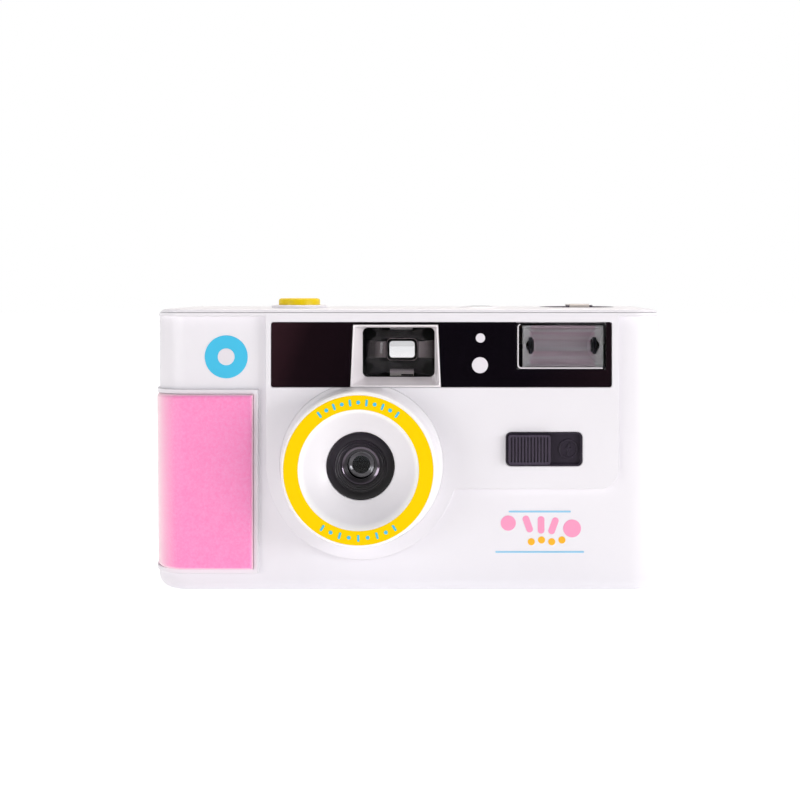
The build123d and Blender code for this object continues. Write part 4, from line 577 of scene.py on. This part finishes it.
def face_prints():
    """Small generic colour prints on the front: a round badge and a group of plain dots and bars."""
    prints("round_badge", CYAN, FACE_Y, ((BADGE_X, BADGE_Z, 4.85),))
    prints("badge_spot", PRINT_WHITE, FACE_Y - PRINT_DEPTH, ((BADGE_X, BADGE_Z, 1.9),))
    prints("pink_print", PINK_PRINT, FACE_Y, ((23.2, 15.6, 1.7), (37.6, 14.4, 2.0)),
           ((27.6, 15.4, 3.9, 1.5, 70.0), (30.6, 15.2, 3.9, 1.5, 90.0), (33.4, 15.0, 3.9, 1.5, 110.0)))
    prints("orange_print", ORANGE, FACE_Y,
           ((28.4, 11.4, 0.8), (30.7, 11.8, 0.8), (33.0, 11.4, 0.8), (35.3, 11.8, 0.8)))
    prints("sky_print", SKY, FACE_Y, bars=((30.3, 9.1, 20.0, 0.4, 0.0), (30.3, 18.2, 14.0, 0.4, 0.0)))
    prints("panel_dots", PRINT_WHITE, PLATE_Y, ((16.9, 57.4, 1.05), (16.8, 51.3, 1.8)))


def dial_numbers():
    """Plain numbers and dots on the frame counter's dial, one number every fourth frame."""
    low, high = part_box("counter_dial")
    centre = Vector(((low.x + high.x) / 2, (low.y + high.y) / 2, high.z))
    shape = bmesh.new()
    for place in range(10):
        written = bpy.data.curves.new("number", "FONT")
        written.body = str(place * 4)
        written.size = 1.9 * MM
        written.extrude = 0.015 * MM
        written.align_x = "CENTER"
        written.align_y = "CENTER"
        holder = placed("number", written)
        bpy.context.view_layer.update()
        flat = bpy.data.meshes.new_from_object(holder)
        turn = Matrix.Rotation(math.radians(place * 36.0), 4, "Z")
        flat.transform(Matrix.Translation(centre) @ turn @ Matrix.Translation((0, -3.9 * MM, 0.015 * MM)))
        shape.from_mesh(flat)
        bpy.data.objects.remove(holder)
        bpy.data.meshes.remove(flat)
        for dot in range(1, 4):
            lie = (Matrix.Translation(centre) @ Matrix.Rotation(math.radians(place * 36.0 + dot * 9.0), 4, "Z")
                   @ Matrix.Translation((0, -4.9 * MM, 0)))
            bmesh.ops.create_cone(shape, cap_ends=True, segments=16, radius1=0.16 * MM, radius2=0.16 * MM,
                                  depth=0.04 * MM, matrix=lie)
    bmesh.ops.scale(shape, vec=(1 / MM, 1 / MM, 1 / MM), verts=shape.verts)
    return piece_from("dial_numbers", shape, PRINT_GREY, "counter_dial")


def flash_trigger():
    """Dark wire turns round both ends of the flash tube."""
    wire = bmesh.new()
    for x in (28.35, 28.85, 42.1, 42.6, 43.1):
        top = (x, TUBE_Y, TUBE_Z + TUBE_TURN_RADIUS)
        ring = bmesh.ops.create_circle(wire, segments=10, radius=0.13, matrix=Matrix.Translation(top))["verts"]
        bmesh.ops.rotate(wire, verts=ring, cent=top, matrix=Matrix.Rotation(math.radians(90), 3, "X"))
        edges = list({edge for vert in ring for edge in vert.link_edges})
        bmesh.ops.spin(wire, geom=ring + edges, cent=(x, TUBE_Y, TUBE_Z), axis=(1, 0, 0), dvec=(0, 0, 0),
                       angle=math.tau, steps=32, use_merge=True, use_duplicate=False)
    bmesh.ops.recalc_face_normals(wire, faces=wire.faces)
    return piece_from("trigger_wire", wire, DARK_STEEL, "camera_body")


def rounded(x0, x1, z0, z1, radius, steps=6):
    """The outline of a rounded rectangle in the front view."""
    points = []
    for x, z, start in ((x1 - radius, z1 - radius, 0), (x0 + radius, z1 - radius, 90),
                        (x0 + radius, z0 + radius, 180), (x1 - radius, z0 + radius, 270)):
        for step in range(steps + 1):
            angle = math.radians(start + 90 * step / steps)
            points.append((x + radius * math.cos(angle), z + radius * math.sin(angle)))
    return points


def framed(shape, outer, inner, y0, y1, closed=True):
    """A flat frame between two outlines of as many points, from y0 to y1."""
    rows = [[shape.verts.new((x, y, z)) for x, z in line] for y in (y0, y1) for line in (outer, inner)]
    count = len(outer)
    for a, b in ((0, 1), (1, 3), (3, 2), (2, 0)):
        for step in range(count if closed else count - 1):
            after = (step + 1) % count
            shape.faces.new((rows[a][step], rows[a][after], rows[b][after], rows[b][step]))
    if not closed:
        for end in (0, -1):
            shape.faces.new((rows[0][end], rows[1][end], rows[3][end], rows[2][end]))
    bmesh.ops.recalc_face_normals(shape, faces=shape.faces)


def slab(shape, x0, x1, y0, y1, z0, z1):
    """A plain box in millimetres."""
    lie = (Matrix.Translation(((x0 + x1) / 2, (y0 + y1) / 2, (z0 + z1) / 2))
           @ Matrix.Diagonal((x1 - x0, y1 - y0, z1 - z0, 1.0)))
    bmesh.ops.create_cube(shape, size=1.0, matrix=lie)


def coned_ring(name, material, profile, smooth):
    """A ring spun round the lens axis from a closed outline of radius and depth pairs."""
    shape = bmesh.new()
    line = [shape.verts.new((LENS_X + radius, y, LENS_Z)) for radius, y in profile]
    edges = [shape.edges.new((line[step], line[(step + 1) % len(line)])) for step in range(len(line))]
    bmesh.ops.spin(shape, geom=line + edges, cent=(LENS_X, 0, LENS_Z), axis=(0, 1, 0), dvec=(0, 0, 0),
                   angle=math.tau, steps=96, use_merge=True, use_duplicate=False)
    bmesh.ops.recalc_face_normals(shape, faces=shape.faces)
    return piece_from(name, shape, material, "camera_body", smooth)


def lens_bezels():
    """The polished ring on the barrel's lip, and the satin cone behind the front glass round the stop."""
    coned_ring("front_bezel", BEZEL, ((3.7, -16.72), (4.02, -16.85), (4.17, -16.94), (4.24, -16.94), (4.24, -16.7),
                                      (3.7, -16.66)), 20.0)
    coned_ring("stop_cone", STOP_GREY, ((1.98, -14.93), (2.3, -15.0), (2.75, -15.2), (2.85, -15.2),
                                        (2.85, -14.92), (1.98, -14.9)), 40.0)


def frame_piece(name, material, outer, inner, y0, y1):
    """A piece made of one flat frame."""
    shape = bmesh.new()
    framed(shape, outer, inner, y0, y1)
    return piece_from(name, shape, material, "camera_body")


def slab_piece(name, material, *boxes):
    """A piece made of plain boxes."""
    shape = bmesh.new()
    for box in boxes:
        slab(shape, *box)
    return piece_from(name, shape, material, "camera_body")


def finder_inside():
    """The masks seen through the finder's front glass, in front of the bore to the eyepiece, with painted light on
    the side bands, the foot and a top strip.
    """
    band_low, band_high = 52.1, 56.35
    frame_piece("finder_mask", MASK, rounded(-9.9, 6.4, 48.3, 59.4, 0.1), rounded(-4.5, 2.17, 52.05, 56.45, 0.9),
                -2.3, -1.95)
    frame_piece("finder_frame", MASK_GREY, rounded(-5.25, 2.92, 51.3, 57.2, 1.3),
                rounded(-5.05, 2.72, 51.5, 57.0, 1.15), -2.42, FINDER_MASK_Y)
    # The side bands carry painted light and painted shade.
    slab_piece("finder_sides", FINDER_SIDE_PAINTED_LIGHT, (-9.85, -5.4, -2.4, FINDER_MASK_Y, band_low, band_high),
               (3.1, 6.35, -2.4, FINDER_MASK_Y, band_low, band_high))
    # The foot carries painted light and painted shade.
    slab_piece("finder_foot", FINDER_FOOT_PAINTED_LIGHT, (-3.86, 1.7, -6.7, FINDER_FOOT_Y, 48.25, 49.9))
    slab_piece("finder_slot", MASK, (-1.2, 1.6, -6.76, -6.68, 48.32, 48.62))
    # A pale strip at the top of the bore, a painted highlight.
    slab_piece("finder_highlight_strip", PALE, (-3.86, 1.45, -6.7, FINDER_FOOT_Y, 59.1, 59.45))
    frame_piece("finder_lining", LINING, rounded(-6.45, 2.45, 50.55, 57.05, 0.1),
                rounded(-6.35, 2.35, 50.65, 56.95, 0.1), -1.8, 16.9)


def flash_rim():
    """A pale strip on the flash window's eased edge, down its left side and along its foot, a painted highlight."""
    outer = rounded(25.2, 44.95, 50.5, 60.6, 0.8)
    inner = rounded(25.5, 44.75, 50.82, 60.4, 0.6)
    shape = bmesh.new()
    framed(shape, outer[8:23], inner[8:23], PLATE_Y - 0.13, PLATE_Y - 0.09, closed=False)
    return piece_from("flash_rim", shape, FLASH_RIM_HIGHLIGHT, "camera_body")


def flash_holders():
    """Dark sleeves that carry both ends of the flash tube."""
    shape = bmesh.new()
    for x in (28.3, 42.7):
        slab(shape, x - 0.42, x + 0.42, -12.9, -11.2, 53.7, 57.5)
    bmesh.ops.bevel(shape, geom=list(shape.edges), offset=0.25, offset_type="OFFSET", affect="EDGES", segments=3,
                    profile=0.5, material=-1)
    return piece_from("flash_holders", shape, SLEEVE, "camera_body")


lens_bezels()
finder_inside()
flash_rim()
flash_holders()
ring_marks()
face_prints()
dial_numbers()
flash_trigger()


def floor_material():
    """White sweep that reads as plain white to the view and keeps the soft shadow under the camera."""
    made = bpy.data.materials.new("floor_white")
    made.use_nodes = True
    nodes = made.node_tree.nodes
    link = made.node_tree.links.new
    nodes.clear()
    end = nodes.new("ShaderNodeOutputMaterial")
    matt = nodes.new("ShaderNodeBsdfDiffuse")
    matt.inputs["Color"].default_value = (0.86, 0.86, 0.86, 1)
    fill = nodes.new("ShaderNodeEmission")
    fill.inputs["Strength"].default_value = 0.36
    lit = nodes.new("ShaderNodeAddShader")
    link(matt.outputs["BSDF"], lit.inputs[0])
    link(fill.outputs["Emission"], lit.inputs[1])
    thin = nodes.new("ShaderNodeBsdfDiffuse")
    thin.inputs["Color"].default_value = (0.2, 0.2, 0.2, 1)
    glow = nodes.new("ShaderNodeEmission")
    near = ranged(nodes, -0.14, -0.03, 0.03, 0.9)
    link(object_axes(nodes, link)[1].outputs["Y"], near.inputs["Value"])
    strength = nodes.new("ShaderNodeMix")
    strength.inputs["A"].default_value = 1.0
    link(near.outputs["Result"], strength.inputs["B"])
    link(strength.outputs["Result"], glow.inputs["Strength"])
    both = nodes.new("ShaderNodeAddShader")
    link(glow.outputs["Emission"], both.inputs[0])
    link(thin.outputs["BSDF"], both.inputs[1])
    path = nodes.new("ShaderNodeLightPath")
    link(path.outputs["Is Glossy Ray"], strength.inputs["Factor"])
    seen = maths(nodes, "MAXIMUM")
    link(path.outputs["Is Camera Ray"], seen.inputs[0])
    link(path.outputs["Is Glossy Ray"], seen.inputs[1])
    all_seen = maths(nodes, "MAXIMUM")
    link(seen.outputs[0], all_seen.inputs[0])
    link(path.outputs["Is Transmission Ray"], all_seen.inputs[1])
    mix = nodes.new("ShaderNodeMixShader")
    link(all_seen.outputs[0], mix.inputs["Fac"])
    link(lit.outputs["Shader"], mix.inputs[1])
    link(both.outputs["Shader"], mix.inputs[2])
    link(mix.outputs["Shader"], end.inputs["Surface"])
    return made


def floor():
    """A wide plain floor under the camera, ending half a metre in front of it."""
    shape = bmesh.new()
    bmesh.ops.create_grid(shape, x_segments=1, y_segments=1, size=1.5,
                          matrix=Matrix.Translation((0, 1.0, -0.00005)))
    mesh = bpy.data.meshes.new("floor")
    shape.to_mesh(mesh)
    shape.free()
    mesh.materials.append(floor_material())
    plain = placed("floor", mesh)


def world():
    """A white room: plain white to the view and through glass, dim behind the viewer in reflections."""
    scene_world = bpy.data.worlds.new("white_room")
    bpy.context.scene.world = scene_world
    scene_world.use_nodes = True
    nodes = scene_world.node_tree.nodes
    link = scene_world.node_tree.links.new
    nodes.clear()
    end = nodes.new("ShaderNodeOutputWorld")
    light = nodes.new("ShaderNodeBackground")
    light.inputs["Strength"].default_value = 0.3
    light.inputs["Color"].default_value = (1.0, 0.99, 1.0, 1)
    room = nodes.new("ShaderNodeBackground")
    seen = nodes.new("ShaderNodeBackground")
    seen.inputs["Color"].default_value = (1.0, 1.0, 1.0, 1)
    place = nodes.new("ShaderNodeTexCoord")
    split = nodes.new("ShaderNodeSeparateXYZ")
    link(place.outputs["Generated"], split.inputs["Vector"])
    dim = ranged(nodes, -0.92, -0.45, 0.03, 0.95)
    dim.interpolation_type = "SMOOTHSTEP"
    link(split.outputs["Y"], dim.inputs["Value"])
    link(dim.outputs["Result"], room.inputs["Strength"])
    path = nodes.new("ShaderNodeLightPath")
    bounced = maths(nodes, "MAXIMUM")
    link(path.outputs["Is Glossy Ray"], bounced.inputs[0])
    link(path.outputs["Is Transmission Ray"], bounced.inputs[1])
    reflected = nodes.new("ShaderNodeMixShader")
    link(bounced.outputs[0], reflected.inputs["Fac"])
    link(light.outputs["Background"], reflected.inputs[1])
    link(room.outputs["Background"], reflected.inputs[2])
    mix = nodes.new("ShaderNodeMixShader")
    link(path.outputs["Is Camera Ray"], mix.inputs["Fac"])
    link(reflected.outputs["Shader"], mix.inputs[1])
    link(seen.outputs["Background"], mix.inputs[2])
    link(mix.outputs["Shader"], end.inputs["Surface"])


def soft_light(name, place, target, size, watts, colour=(1, 1, 1)):
    """A large soft lamp that points at a spot; sizes in metres."""
    data = bpy.data.lights.new(name, "AREA")
    data.shape = "RECTANGLE"
    data.size = size[0]
    data.size_y = size[1]
    data.energy = watts
    data.color = colour
    lamp = placed(name, data)
    lamp.location = place
    aim = Vector(target) - Vector(place)
    lamp.rotation_euler = aim.to_track_quat("-Z", "Y").to_euler()


def view():
    """The photograph's view: level, a little right of the lens and just above the top, with a shifted lens."""
    data = bpy.data.cameras.new("view")
    data.sensor_width = 36.0
    data.lens = 55.35
    data.shift_x = -0.071
    data.shift_y = -0.146
    data.clip_start = 0.01
    camera = placed("view", data)
    camera.location = (0.0116, -0.2911, 0.0697)
    camera.rotation_euler = (math.radians(90), 0, 0)
    bpy.context.scene.camera = camera


floor()
world()
soft_light("right_softbox", (0.68, -0.38, 0.12), (0, 0, 0.03), (0.4, 0.24), 2.8, (1.0, 0.985, 1.0))
soft_light("left_softbox", (-0.55, -0.5, 0.12), (0, 0, 0.03), (0.4, 0.24), 1.35, (1.0, 0.985, 1.0))
soft_light("top_softbox", (0.05, 0.26, 0.8), (0, 0.03, 0.05), (0.7, 0.5), 5.7, (1.0, 0.94, 0.88))
view()

bpy.context.scene.view_settings.view_transform = "Standard"
